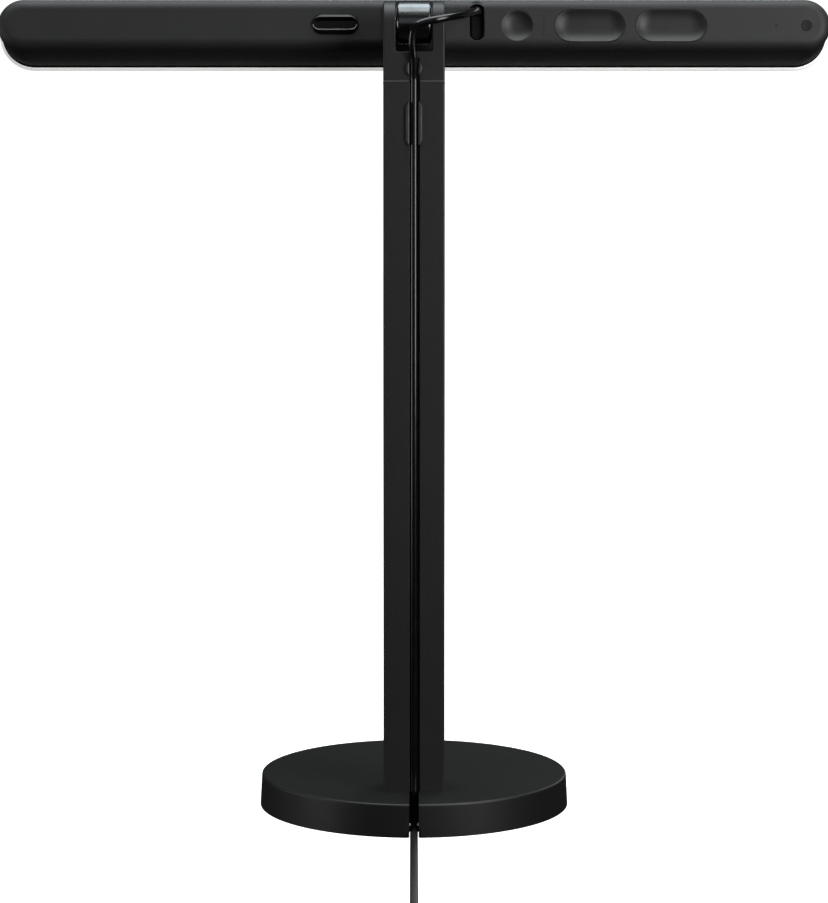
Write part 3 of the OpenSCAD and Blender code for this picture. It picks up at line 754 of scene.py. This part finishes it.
def block(name, low, high, slot=None):
    (x0, y0, z0), (x1, y1, z1) = low, high
    verts = [(x, y, z) for z in (z0, z1) for x, y in [(x0, y0), (x1, y0), (x1, y1), (x0, y1)]]
    faces = [(0, 1, 2, 3), (4, 5, 6, 7), (0, 1, 5, 4), (1, 2, 6, 5), (2, 3, 7, 6), (3, 0, 4, 7)]
    return put(name, verts, faces, slot)


def prism(name, outline, low, high, slot=None):
    """An outline in X and Y between two heights."""
    return loft(name, [[Vector((x, y, z)) for x, y in outline] for z in (low, high)], slot)


def base_cover():
    top, low, inner = BASE_TOP, COVER_LIFT, BASE_R - COVER_WALL
    edge = [(BASE_R - 0.7 - TOP_EDGE + x, top - TOP_EDGE + z) for x, z in arc(TOP_EDGE, 0, 90, 8)]
    foot = [(BASE_R - 0.15 + x, low + 0.15 + z) for x, z in arc(0.15, -90, 0, 3)]
    under = top - COVER_TOP
    outline = foot + edge + [(0.02, top), (0.02, under), (inner, under), (inner, low)]
    cover = revolve("stand_cover", outline, "base_paint")
    half, reach = SLIT_W / 2, BASE_R - 2
    wall = block("wall", (-half - SLIT_WALL, -reach, low),
                 (half + SLIT_WALL, SLIT_END + SLIT_WALL, under + 1), "base_paint")
    slit = block("slit", (-half, -BASE_R - 2, WEB_TOP), (half, SLIT_END, top + 1))
    gap = block("gap", (-half, -BASE_R - 2, -1), (half, WEB_Y, top))
    flare = prism("flare", [(-half - 2.1, -BASE_R - 1), (half + 2.1, -BASE_R - 1),
                            (half, -BASE_R + SLIT_FLARE), (-half, -BASE_R + SLIT_FLARE)],
                  -1, top + 1)
    join(cover, wall)
    cut(cover, slit, gap, flare)
    soften(cover, 0.35, 40)
    weigh(cover, 40)
    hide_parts("base_cover")
    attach(cover, "stand_base")
    # Painted highlight: the two pips in the slit are light grey for the glints they catch.
    for side in (-1, 1):
        pip = dome("slit_pip_left" if side < 0 else "slit_pip_right",
                   (side * (half - 0.05), -BASE_R + 1.9, 5.8), 0.75, "clip_plastic")
        repaint(pip, "painted_highlight_grey")
        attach(pip, "stand_base")


def dome(name, centre, radius, slot):
    """A small round pip."""
    rings = []
    for i in range(1, 12):
        a = math.pi * i / 12
        rings.append([Vector(centre) + Vector((x, y, radius * math.cos(a)))
                      for x, y in arc(radius * math.sin(a), 0, 360, 24)[:-1]])
    return loft(name, rings, slot, smooth=60)


# ---- Post -------------------------------------------------------------------


def post_outline(shrink, groove=True):
    """The post's section: round corners, and the cable groove with flared lips."""
    w, t, half = POST_W / 2 - shrink, POST_T / 2 - shrink, GROOVE_W / 2 + shrink
    edge = max(0.3, POST_EDGE - shrink)
    out = [(p, POST_Y + q) for p, q in rounded(2 * w, 2 * t, edge, 8)]
    if not groove:
        return out
    rear, deep = POST_Y - t, POST_REAR + GROOVE_DEPTH - shrink
    lip = 0.3
    left = [(GROOVE_LEFT - shrink - lip + x, rear + lip + y) for x, y in arc(lip, -90, 0, 5)]
    right = [(half + lip - x, rear + lip + y) for x, y in reversed(arc(lip, -90, 0, 5))]
    floor_left = [(GROOVE_LEFT - shrink + 0.4 - x, deep - 0.4 + y) for x, y in arc(0.4, 0, 90, 3)]
    floor_right = [(half - 0.4 + x, deep - 0.4 + y) for x, y in reversed(arc(0.4, 0, 90, 3))]
    return out + left + floor_left + floor_right + right


def post_sleeve():
    low, top = sleeve_low.z, SLEEVE_TOP
    heights = [(low, 0)] + [(top - d, i) for d, i in reversed(fillet(0.2, 3))]
    rings = [[Vector((x, y, z)) for x, y in post_outline(i)] for z, i in heights]
    sleeve = loft("sleeve", rings, "post_paint")
    bore = prism("bore", [(x, (BORE_REAR + BORE_FRONT) / 2 + y)
                          for x, y in rounded(BORE_W, BORE_FRONT - BORE_REAR, 0.5, 3)],
                 low - 1, top + 1)
    cut(sleeve, bore)
    weigh(sleeve, 40)
    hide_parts("post_sleeve")
    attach(sleeve, "stand_base")
    # Painted highlight: a pale bead along the sleeve's top edge, each side of the groove, stands for the light
    # line on that rounded edge.
    for side, start in ((-1, GROOVE_LEFT), (1, GROOVE_W / 2)):
        turn = [(POST_W / 2 - 1.3 + x, top - 1.4 + z) for x, z in arc(1.3, 90, 10, 6)]
        line = [Vector((side * x, POST_REAR + 0.04, z)) for x, z in turn]
        line.insert(0, Vector((start + 0.3 * side, POST_REAR + 0.04, turn[0][1])))
        bead = tube("sleeve_edge_left" if side < 0 else "sleeve_edge_right", line, 0.27,
                    "post_paint", 10)
        repaint(bead, "painted_edge_highlight")
        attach(bead, "stand_base")


def fork_head():
    low = head_low.z
    t = POST_T / 2

    def side(i):
        start = [(-t + i, low + 0.15 * min(1, i)), (-t + i, AXIS_Z)]
        crown = [(y, AXIS_Z + z) for y, z in arc(t - i, 180, 0, 40)]
        return start[:1] + crown + [(t - i, low + 0.15 * min(1, i))]

    ends = fillet(POST_EDGE, 8)
    stations = [(-POST_W / 2 + d, i) for d, i in ends]
    stations += [(POST_W / 2 - d, i) for d, i in reversed(ends)]
    rings = [[Vector((x, POST_Y + y, z)) for y, z in side(i)] for x, i in stations]
    head = loft("head", rings, "post_paint")
    tall = 60
    window = [[Vector((x, POST_Y + y, CUT_BOTTOM + tall / 2 + z))
               for x, z in rounded(CUT_W, tall, CUT_R, 6)] for y in (-POST_T, POST_T)]
    socket = block("socket", (-BORE_W / 2 + 0.6, BORE_REAR + 0.5, low - 1),
                   (BORE_W / 2 - 0.6, BORE_FRONT - 0.5, low + 8))
    groove = [(x, POST_REAR + y) for x, y in
              [(GROOVE_LEFT, -2), (GROOVE_W / 2, -2), (GROOVE_W / 2, GROOVE_DEPTH),
               (GROOVE_LEFT, GROOVE_DEPTH)]]
    cut(head, loft("window", window, None))
    bevel(head, 0.4, lambda p: abs(p.x) < CUT_W / 2 + 0.01 and p.z > CUT_BOTTOM - 0.01)
    cut(head, socket, prism("groove", groove, low - 1, GROOVE_TOP))
    caps = [axle_pin("cap", s * (POST_W / 2 - CAP_T), s * (POST_W / 2 + 2), CAP_R + 0.08, None)
            for s in (-1, 1)]
    cut(head, *caps)
    weigh(head, 40)
    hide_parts("fork_head")
    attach(head, "upper_post")


def axle_caps():
    made = []
    for s in (-1, 1):
        x0, x1 = s * (POST_W / 2 - CAP_T + 0.05), s * (POST_W / 2 - 0.05)
        cap = axle_pin("cap", x0, x1, CAP_R, "clip_plastic", 0.25)
        hole = axle_pin("hole", x1 - s * 0.7, x1 + s, 1.6, None, steps=6)
        made.append(soften(cut(cap, hole), 0.12, 50, 2))
    caps = merge("head_caps", *made)
    weigh(caps, 40)
    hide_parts("axle_caps")
    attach(caps, "upper_post")


def hinge_knuckle():
    """Barrel with chamfered ends, and the neck and flange that carry the bar."""
    half = BARREL_W / 2
    ends = [(0, 1), (0.12, 0.62), (0.35, 0.42), (0.62, 0.27), (0.95, 0.1), (1.25, 0)]
    stations = [(-half + d, i) for d, i in ends] + [(half - d, i) for d, i in reversed(ends)]
    rings = [[Vector((x, POST_Y + y, AXIS_Z + z))
              for y, z in arc(BARREL_D / 2 - i, 0, 360, 96)[:-1]] for x, i in stations]
    barrel = loft("hinge_barrel", rings, "hinge_metal", smooth=40)
    centre = Vector((0, POST_Y, AXIS_Z))
    neck = [[centre + x * ALONG + u * INTO + (w + 1.2) * UP
             for x, w in rounded(BARREL_W - 1.6, 8.5, 1.2)]
            for u in (1, BACK_GAP - 0.4)]
    join(barrel, loft("neck", neck, "hinge_metal"))
    bore = pin("bore", (-half - 1, POST_Y, AXIS_Z), (half + 1, POST_Y, AXIS_Z), 4.52, None, 0.01)
    cut(barrel, bore)
    soften(barrel, 0.12, 60, 2)
    weigh(barrel, 30)
    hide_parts("hinge_knuckle")
    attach(barrel, "light_bar")
    flange = [(0, 0)] + [(d - FLANGE_T, i) for d, i in reversed(fillet(0.5, 4))]
    plate = loft("hinge_flange", bar_rings(0, FLANGE_UP, inset(*FLANGE, flange),
                                           lambda a, b: rounded(a, b, 0.4)), "hinge_metal")
    plate.data.materials[0] = FINISH["post_paint"]
    weigh(plate, 40)
    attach(plate, "light_bar")


def clip(name, span, body, node):
    """Two jaws that stand in the groove, each with a domed back."""
    low, high = span
    middle, tall = (low + high) / 2, high - low
    made = []
    for s in (-1, 1):
        slot_edge = CLIP_SLOT / 2
        shape = [(x, z) for x, z in rounded(CLIP_W, tall, CLIP_ROUND, 12) if x > slot_edge + 0.05]
        top = [p for p in shape if p[1] > 0]
        bottom = [p for p in shape if p[1] <= 0]
        reach_top, reach_bottom = top[-1][1], bottom[0][1]
        outline = bottom + top + [(slot_edge, reach_top), (slot_edge, reach_bottom)]
        cx = (slot_edge + CLIP_W / 2) / 2
        rings = []
        for d, i in [(0, 0), (0.3, 0)] + [(CLIP_PROUD - d, i) for d, i in reversed(fillet(1.2, 8))]:
            sx, sz = max(0.12, 1 - 0.75 * i), 1 - i / (tall / 2)
            rings.append([Vector((s * (cx + (x - cx) * sx), POST_REAR - d, middle + z * sz))
                          for x, z in outline])
        jaw = loft("jaw", rings, "clip_plastic")
        x0, x1 = sorted((s * slot_edge, s * (slot_edge + 0.5)))
        leg = block("leg", (x0, POST_REAR - 0.2, low + 1), (x1, POST_REAR + 2.2, high - 1),
                    "clip_plastic")
        made.append(jaw)
        made.append(leg)
    piece = merge(name, *made)
    weigh(piece, 45)
    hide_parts(node)
    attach(piece, body)


# ---- Light bar --------------------------------------------------------------


def half_height(u, shrink):
    slope = (BAR_H_FRONT - BAR_H) / 2 / (BAR_DEPTH - BACK_EDGE)
    return BAR_H / 2 - shrink + max(0, u - BACK_EDGE) * slope


def shell_sections(shrink, steps):
    """The drafted pill with its rounded back edge, shrunk evenly, from back to front."""
    edge = BACK_EDGE - shrink
    out = []
    for i in range(steps + 1):
        a = math.radians(90 * i / steps)
        u, less = BACK_EDGE - edge * math.cos(a), edge * (1 - math.sin(a))
        out.append((u, BAR_LEN - 2 * shrink - 2 * less, 2 * (half_height(u, shrink) - less)))
    return out


def long_pill(length, height):
    return pill(length, height, 40, 24)


def key_hole(name, key, depth=5, gap=KEY_GAP, lip=0.05, w=CONTROL_W):
    """A cutter for a key's opening, with a small rounded lip."""
    x, wide, tall = key
    profile = [(-1, -lip - gap)] + [(d, -i - gap) for d, i in fillet(lip, 4)] + [(depth, -gap)]
    return loft(name, bar_rings(x, w, inset(wide, tall, profile)), None)


def true_normals(shell):
    """Shades the outside as the drafted pill it is, so that its openings leave no marks on it."""
    mesh = shell.data
    lean = math.atan((BAR_H_FRONT - BAR_H) / 2 / (BAR_DEPTH - BACK_EDGE))

    def outside(point):
        place = point / MM - BACK
        x, u = place.dot(ALONG), place.dot(INTO)
        w = place.dot(UP) + sag(u)
        reach = BAR_LEN / 2 - half_height(u, 0)
        across, rise = x - max(-reach, min(reach, x)), w
        far = math.hypot(across, rise) or 1
        low, less = max(0, BACK_EDGE - u), max(0, BACK_EDGE - half_height(u, 0) + far)
        off = abs(math.hypot(low, less) - BACK_EDGE) if u < BACK_EDGE else abs(less - BACK_EDGE)
        turn = min(math.atan2(less, low), math.pi / 2 - lean)
        way = (across * ALONG + rise * UP) / far
        return off, math.sin(turn) * way - math.cos(turn) * INTO

    normals = [tuple(c.vector) for c in mesh.corner_normals]
    for face in mesh.polygons:
        off, facing = outside(face.center)
        if off > 0.08 or face.normal.dot(facing) < 0.92:
            continue
        for corner in face.loop_indices:
            normals[corner] = tuple(outside(mesh.vertices[mesh.loops[corner].vertex_index].co)[1])
    mesh.normals_split_custom_set(normals)


def upright_pill(length, height):
    return [(-q, p) for p, q in pill(length, height)]


def pocket_loft(name, sections, slot=None):
    return loft(name, bar_rings(POCKET_X, POCKET_W, sections, upright_pill), slot)


def rear_shell():
    outer = shell_sections(0, 14)
    inner = shell_sections(WALL, 8)
    rim = [(BAR_DEPTH, outer[-1][1], 2 * half_height(BAR_DEPTH, 0))]
    rim_in = [(BAR_DEPTH, BAR_LEN - 2 * WALL, 2 * half_height(BAR_DEPTH, WALL))]
    sections = outer + rim + rim_in + list(reversed(inner))
    shell = loft("bar_shell", bar_rings(0, 0, sections, long_pill), "shell_plastic")
    wall = inset(POCKET_TALL + 2.4, POCKET_WIDE + 2.4, [(0.9, 0), (POCKET_DEPTH + 1, 0)])
    join(shell, pocket_loft("hull", wall, "shell_plastic"))
    lip = 0.7
    opening = [(-1, -lip)] + [(d, -i) for d, i in fillet(lip, 4)] + [(POCKET_DEPTH, 0)]
    mouth = pocket_loft("mouth", inset(POCKET_TALL, POCKET_WIDE, opening))
    socket = pocket_loft("socket", [(3, 9.4, 3.8), (12, 9.4, 3.8)])
    # Cut after the other openings, the pairing key's hole tears the shell.
    cutters = [key_hole("hole", PAIRING), mouth, socket]
    cutters += [key_hole("hole", POWER)]
    cutters += [key_hole("hole", k, gap=ROCKER_GAP) for k in (BRIGHTNESS, TEMPERATURE)]
    cutters += [key_hole("hole", MODE, w=MODE_W)]
    cutters += [key_hole("hole", (STATUS_X, STATUS_D, STATUS_D), gap=0.05, lip=0.08)]
    line = loft("line", bar_rings(DIVIDER_X, CONTROL_W, [
        (-1, DIVIDER_H, 0.42), (0.16, DIVIDER_H, 0.3)], upright_pill), None)
    cut(shell, *cutters, line)
    weigh(shell, 32)
    true_normals(shell)
    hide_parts("rear_shell")
    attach(shell, "light_bar")


def pill_frame(name, slot, node, u0, u1, length, tall, window, edge):
    """A pill-shaped ring with rounded outer edges."""
    gap = length - tall
    soft = fillet(edge, 5)
    outside = [(u0 + d, length - 2 * i, tall - 2 * i) for d, i in soft]
    outside += [(u1 - d, length - 2 * i, tall - 2 * i) for d, i in reversed(soft)]
    sections = outside + [(u1, gap + window, window), (u0, gap + window, window)]
    piece = loft(name, bar_rings(0, 0, sections, long_pill), slot, closed=True)
    weigh(piece, 50)
    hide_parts(node)
    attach(piece, "light_bar")


def front_parts():
    ring_front = BAR_DEPTH + RING_T
    # Painted shadow: a near-black bead round the shell's rim, where the gap between the shell and the halo ring
    # lies in shade.
    rim = [(BAR_DEPTH - 0.6, -0.1), (BAR_DEPTH - 0.5, 0.5), (BAR_DEPTH, 0.55),
           (BAR_DEPTH, -0.5), (BAR_DEPTH - 0.6, -0.5)]
    rim = [(u, BAR_LEN + 2 * out, 2 * (half_height(u, 0) + out)) for u, out in rim]
    line = loft("rim_line", bar_rings(0, 0, rim, long_pill), "bezel_plastic", closed=True)
    repaint(line, "painted_gap_shadow")
    weigh(line, 50)
    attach(line, "light_bar")
    pill_frame("halo_ring", "ring_plastic", "light_ring", BAR_DEPTH + 0.02, ring_front,
               BAR_LEN + 2 * LIP, BAR_H_FRONT + 2 * LIP, WINDOW_H, 0.8)
    pill_frame("front_frame", "bezel_plastic", "front_bezel", ring_front + 0.02,
               ring_front + BEZEL_T, BAR_LEN, BEZEL_H, WINDOW_H, 0.5)
    length, tall = BAR_LEN - BEZEL_H + WINDOW_H - 0.2, WINDOW_H - 0.2
    face = ring_front + BEZEL_T - 0.2
    profile = [(BAR_DEPTH + 1.6, 0), (face - 0.5, 0)]
    profile += [(face - 0.5 + 0.5 * math.sin(math.radians(a)), 13 * (1 - math.cos(math.radians(a))))
                for a in (15, 30, 45, 60, 75)]
    lens = loft("front_lens", bar_rings(0, 0, inset(length, tall, profile), long_pill),
                "diffuser_plastic")
    weigh(lens, 50)
    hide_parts("front_diffuser")
    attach(lens, "light_bar")


def dished_key(name, key, body, node):
    """A key cap with a rounded rim and a hollow whose depth depends on the way in from the rim."""
    x, wide, tall = key
    reach = tall / 2
    skirt = [(3.8, 0.15), (0.4, 0)] + [(0.01 + d, i) for d, i in reversed(fillet(0.12, 3))]
    rim = 0.16
    bowl = []
    for i in range(1, 15):
        part = i / 14.5
        way = rim + (reach - rim) * part
        bowl.append((0.01 + DISH * (1 - (1 - part) ** 2.5), way))
    rings = bar_rings(x, CONTROL_W, inset(wide, tall, skirt + bowl),
                      lambda a, b: pill(a, b, 40, 16))
    cap = loft(name, rings, "key_plastic", smooth=60)
    weigh(cap, 60)
    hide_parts(node)
    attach(cap, body)


def mode_key():
    """Pill-shaped mouth: a raised lip set high on the key, round a dark hollow."""
    x, wide, tall = MODE
    profile = [(3.8, 0, 0), (0.3, 0, 0), (0.02, 0.1, 0), (-0.15, 0.35, 0.05), (-0.55, 0.85, 0.1),
               (-0.95, 1.3, 0.2), (-1.15, 1.6, 0.25), (-1.2, 1.8, 0.28), (-1.12, 2.05, 0.3),
               (-0.8, 2.35, 0.3), (-0.2, 2.55, 0.3), (2.4, 2.7, 0.3), (2.8, 2.9, 0.3)]
    rings = []
    for u, less, rise in profile:
        rings += bar_rings(x, MODE_W + rise, [(u, wide - less * MODE_SQUEEZE, tall - 2 * less)],
                           lambda a, b: pill(a, b, 32, 16))
    cap = loft("mode_cap", rings, "mode_plastic", smooth=50)
    weigh(cap, 50)
    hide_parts("mode_button")
    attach(cap, "mode_key")
    # Painted highlight: a light grey bead along the lower inner rim of the mouth stands for the bright line there.
    rim = pill(wide - 1.95 * MODE_SQUEEZE, tall - 3.9, 32, 16)
    low = sorted((p, q) for p, q in rim if q < -0.5)
    line = [bar(x + p, -1.12, MODE_W + 0.3 + q) for p, q in low]
    bead = tube("mode_rim_painted_highlight", line, 0.24, "mode_plastic", 10)
    repaint(bead, "painted_highlight_grey")
    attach(bead, "mode_key")


def flat_key(name, key, slot, body, node, dip):
    x, wide, tall = key
    profile = [(3.4, 0), (0.4, 0)] + [(0.1 + d, i) for d, i in reversed(fillet(0.25, 4))]
    profile += [(0.1 + dip * (1 - (1 - p) ** 2), 0.3 + (tall / 2 - 0.3) * p)
                for p in (0.3, 0.6, 0.95)]
    cap = loft(name, bar_rings(x, CONTROL_W, inset(wide, tall, profile)), slot, smooth=60)
    weigh(cap, 60)
    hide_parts(node)
    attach(cap, body)


def controls():
    dished_key("power_cap", POWER, "power_key", "power_button")
    dished_key("brightness_cap", BRIGHTNESS, "brightness_key", "brightness_rocker")
    dished_key("temperature_cap", TEMPERATURE, "temperature_key", "temperature_rocker")
    mode_key()
    flat_key("pairing_cap", PAIRING, "pair_plastic", "pairing_key", "pairing_button", 0.15)
    flat_key("status_lens", (STATUS_X, STATUS_D, STATUS_D), "window_plastic", "light_bar",
             "status_window", 0.02)


def lamp_plug():
    """Small overmoulded plug that sits in the pocket, with a round neck for the cable."""
    upright = lambda a, b: [(-q, p) for p, q in pill(a, b)]
    profile = [(POCKET_DEPTH - 0.1, 0)] + [(3.4 + d, i) for d, i in reversed(fillet(0.9, 5))]
    body = loft("lamp_plug_body", bar_rings(POCKET_X, POCKET_W, inset(
        POCKET_TALL - 0.8, POCKET_WIDE - 0.8, profile), upright), "plug_plastic")
    neck = pin("neck", bar(29.8, 4.5, 6.2), bar(29.8, 0.2, 6.2), 2.1, "plug_plastic", 0.4)
    join(body, neck)
    weigh(body, 45)
    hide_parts("lamp_plug")
    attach(body, "light_bar")


# ---- Far plug and tie -------------------------------------------------------


def far_plug():
    """Grip with a ribbed strain relief, and the folded metal shell with its two windows."""
    rings = []
    relief = [(0, 2.15), (1, 2.35)]
    for i in range(4):
        start = 1.4 + 2 * i
        r = 2.5 + 0.12 * i
        relief += [(start, r - 0.25), (start + 0.3, r), (start + 1.3, r), (start + 1.6, r - 0.25)]
    relief += [(10.2, 3)]
    for d, r in relief:
        rings.append([Vector((PLUG_X - d, PLUG_Y + y, PLUG_Z + z))
                      for y, z in arc(r, 0, 360, 32)[:-1]])
    neck = loft("neck", rings, "plug_plastic")
    back, front = PLUG_X - 9.9, PLUG_X - 31.9
    soft = fillet(1.0, 5)
    stations = [(back - d, i) for d, i in soft]
    stations += [(front + d, i) for d, i in reversed(fillet(0.5, 3))]
    body = loft("far_plug_grip", [[Vector((x, PLUG_Y + y, 3.3 + z))
                                   for y, z in rounded(12 - 2 * i, 6.4 - 2 * i, 1.5 - i * 0.5)]
                                  for x, i in stations], "plug_plastic")
    grips = [block("grip", (back - 5 - 2 * i, PLUG_Y + s * 5.72 - 0.4, 1.4),
                   (back - 4 - 2 * i, PLUG_Y + s * 5.72 + 0.4, 5.2))
             for i in range(5) for s in (-1, 1)]
    cut(body, *grips)
    join(body, neck)
    weigh(body, 40)
    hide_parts("far_plug_body")
    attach(body, "stand_base")

    tip = front - 11.8
    shell = loft("far_plug_shield", [[Vector((x, PLUG_Y + y, PLUG_Z + z))
                                      for y, z in rounded(9.2, 3.0, 0.5, 4)] for x in (front, tip)],
                 "shield_steel")
    hollow = block("hollow", (tip - 1, PLUG_Y - 4.3, PLUG_Z - 0.1),
                   (front - 1, PLUG_Y + 4.3, PLUG_Z + 1.2))
    windows = [block("window", (tip + 4.6, PLUG_Y + s * 2.4 - 1, PLUG_Z + 0.5),
                     (tip + 6.8, PLUG_Y + s * 2.4 + 1, PLUG_Z + 3)) for s in (-1, 1)]
    cut(shell, hollow, *windows)
    soften(shell, 0.08, 50, 2)
    weigh(shell, 40)
    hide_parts("far_plug_shell")
    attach(shell, "stand_base")


def coil_tie():
    """Strap round one side of the coil, its end lapped over the top."""
    inner, outer = COIL_INNER - CORD_R - 1.5, COIL_OUTER + CORD_R + 0.4
    tall, strap = COIL_RISE + CORD_D + 0.3, 1.1
    middle = COIL_X - (inner + outer) / 2
    rings = []
    for y, less in [(-4.5, 0.25), (-4.3, 0), (4.3, 0), (4.5, 0.25)]:
        half = (outer - inner) / 2
        out = [(-half - strap + less, 0.02), (-half, 0.02), (-half, tall - 1)]
        out += [(-half + 1 + x, tall - 1 + z) for x, z in arc(1, 180, 90, 4)[1:]]
        out += [(half - 1 + x, tall - 1 + z) for x, z in arc(1, 90, 0, 4)]
        out += [(half, 0.02), (half + strap - less, 0.02)]
        r = 1 + strap - less
        out += [(half - 1 + x, tall - 1 + z) for x, z in arc(r, 0, 90, 6)]
        out += [(-half + 1 + x, tall - 1 + z) for x, z in arc(r, 90, 180, 6)]
        rings.append([Vector((middle + x, COIL_Y + y, z)) for x, z in out])
    strap_piece = loft("coil_tie", rings, "tie_fabric")
    weigh(strap_piece, 40)
    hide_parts("cable_tie")
    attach(strap_piece, "stand_base")


# ---- CAD nodes that stay ------------------------------------------------------


def dress_frame():
    """Gives every CAD node the finish of its material slot in the record."""
    slots = {s["node"]: s["material_slot"] for s in frame["record"]["subparts"]}
    for name, node in nodes.items():
        node.data.materials.clear()
        node.data.materials.append(FINISH[slots[name]])
        node.data.polygons.foreach_set("use_smooth", [True] * len(node.data.polygons))
        node.data.set_sharp_from_angle(angle=math.radians(32))


# ---- Studio -----------------------------------------------------------------


def softbox(name, place, aim, size, watts, colour=(1, 1, 1)):
    data = bpy.data.lights.new(name, "AREA")
    data.shape = "RECTANGLE"
    data.size, data.size_y = size
    data.energy = watts
    data.color = colour
    lamp = bpy.data.objects.new(name, data)
    lamp.location = place
    lamp.rotation_euler = (Vector(aim) - Vector(place)).to_track_quat("-Z", "Y").to_euler()
    bpy.context.scene.collection.objects.link(lamp)


def studio():
    scene = bpy.context.scene
    scene.view_settings.view_transform = "Standard"
    world = bpy.data.worlds.new("studio")
    world.use_nodes = True
    tree = world.node_tree
    seen = tree.nodes.new("ShaderNodeLightPath")
    level = tree.nodes.new("ShaderNodeMix")
    level.inputs["A"].default_value = 0.012
    level.inputs["B"].default_value = 1.1
    tree.links.new(seen.outputs["Is Camera Ray"], level.inputs["Factor"])
    sky = tree.nodes["Background"]
    sky.inputs["Color"].default_value = (1, 1, 1, 1)
    tree.links.new(level.outputs["Result"], sky.inputs["Strength"])
    scene.world = world

    size = 6
    mesh = bpy.data.meshes.new("floor")
    mesh.from_pydata([(-size, -size, 0), (size, -size, 0), (size, size, 0), (-size, size, 0)],
                     [], [(0, 1, 2, 3)])
    floor = bpy.data.objects.new("floor", mesh)
    scene.collection.objects.link(floor)
    pale = Nodes("floor")
    pale.tint(pale.noise(300, 2), (0.9, 0.9, 0.9), 0.01)
    pale.set(Roughness=0.9, Emission_Color=(1, 1, 1, 1), Emission_Strength=1)
    mesh.materials.append(pale.material)
    floor.visible_diffuse = False
    floor.visible_glossy = False

    top = (0, 0, 0.3)
    softbox("overhead_front", (0, 0.75, 1.5), top, (1.6, 0.6), 1)
    softbox("overhead", (0, 0.15, 1.5), top, (1.6, 0.6), 17, (0.86, 0.95, 1))
    softbox("overhead_rear", (0, -0.45, 1.5), top, (1.6, 0.5), 8.7)
    softbox("high_rear", (0, -1.1, 1.5), top, (1.6, 0.6), 0.5)
    softbox("camera_side", (0, -2.4, 0.7), top, (1.2, 1.1), 1.4)
    softbox("right", (0.6, -0.6, 0.44), (0.1, 0, 0.35), (0.4, 0.62), 5)
    softbox("front", (0.7, 1.1, 0.6), (0, 0, 0.25), (0.6, 0.6), 1.6)
    softbox("left_low", (-1.4, -0.5, 0.2), (0, 0, 0.1), (0.6, 0.5), 3.3)
    softbox("left_far", (-1.4, 0.3, 0.3), (0, 0, 0.1), (0.6, 0.5), 1.4)


# ---- Making -----------------------------------------------------------------

dress_frame()
base_cover()
post_sleeve()
fork_head()
axle_caps()
hinge_knuckle()
clip("head_clip", UPPER_CLIP, "upper_post", "upper_cable_clip")
clip("sleeve_clip", LOWER_CLIP, "stand_base", "lower_cable_clip")
rear_shell()
front_parts()
controls()
lamp_plug()
far_plug()
coil_tie()
cords()
studio()
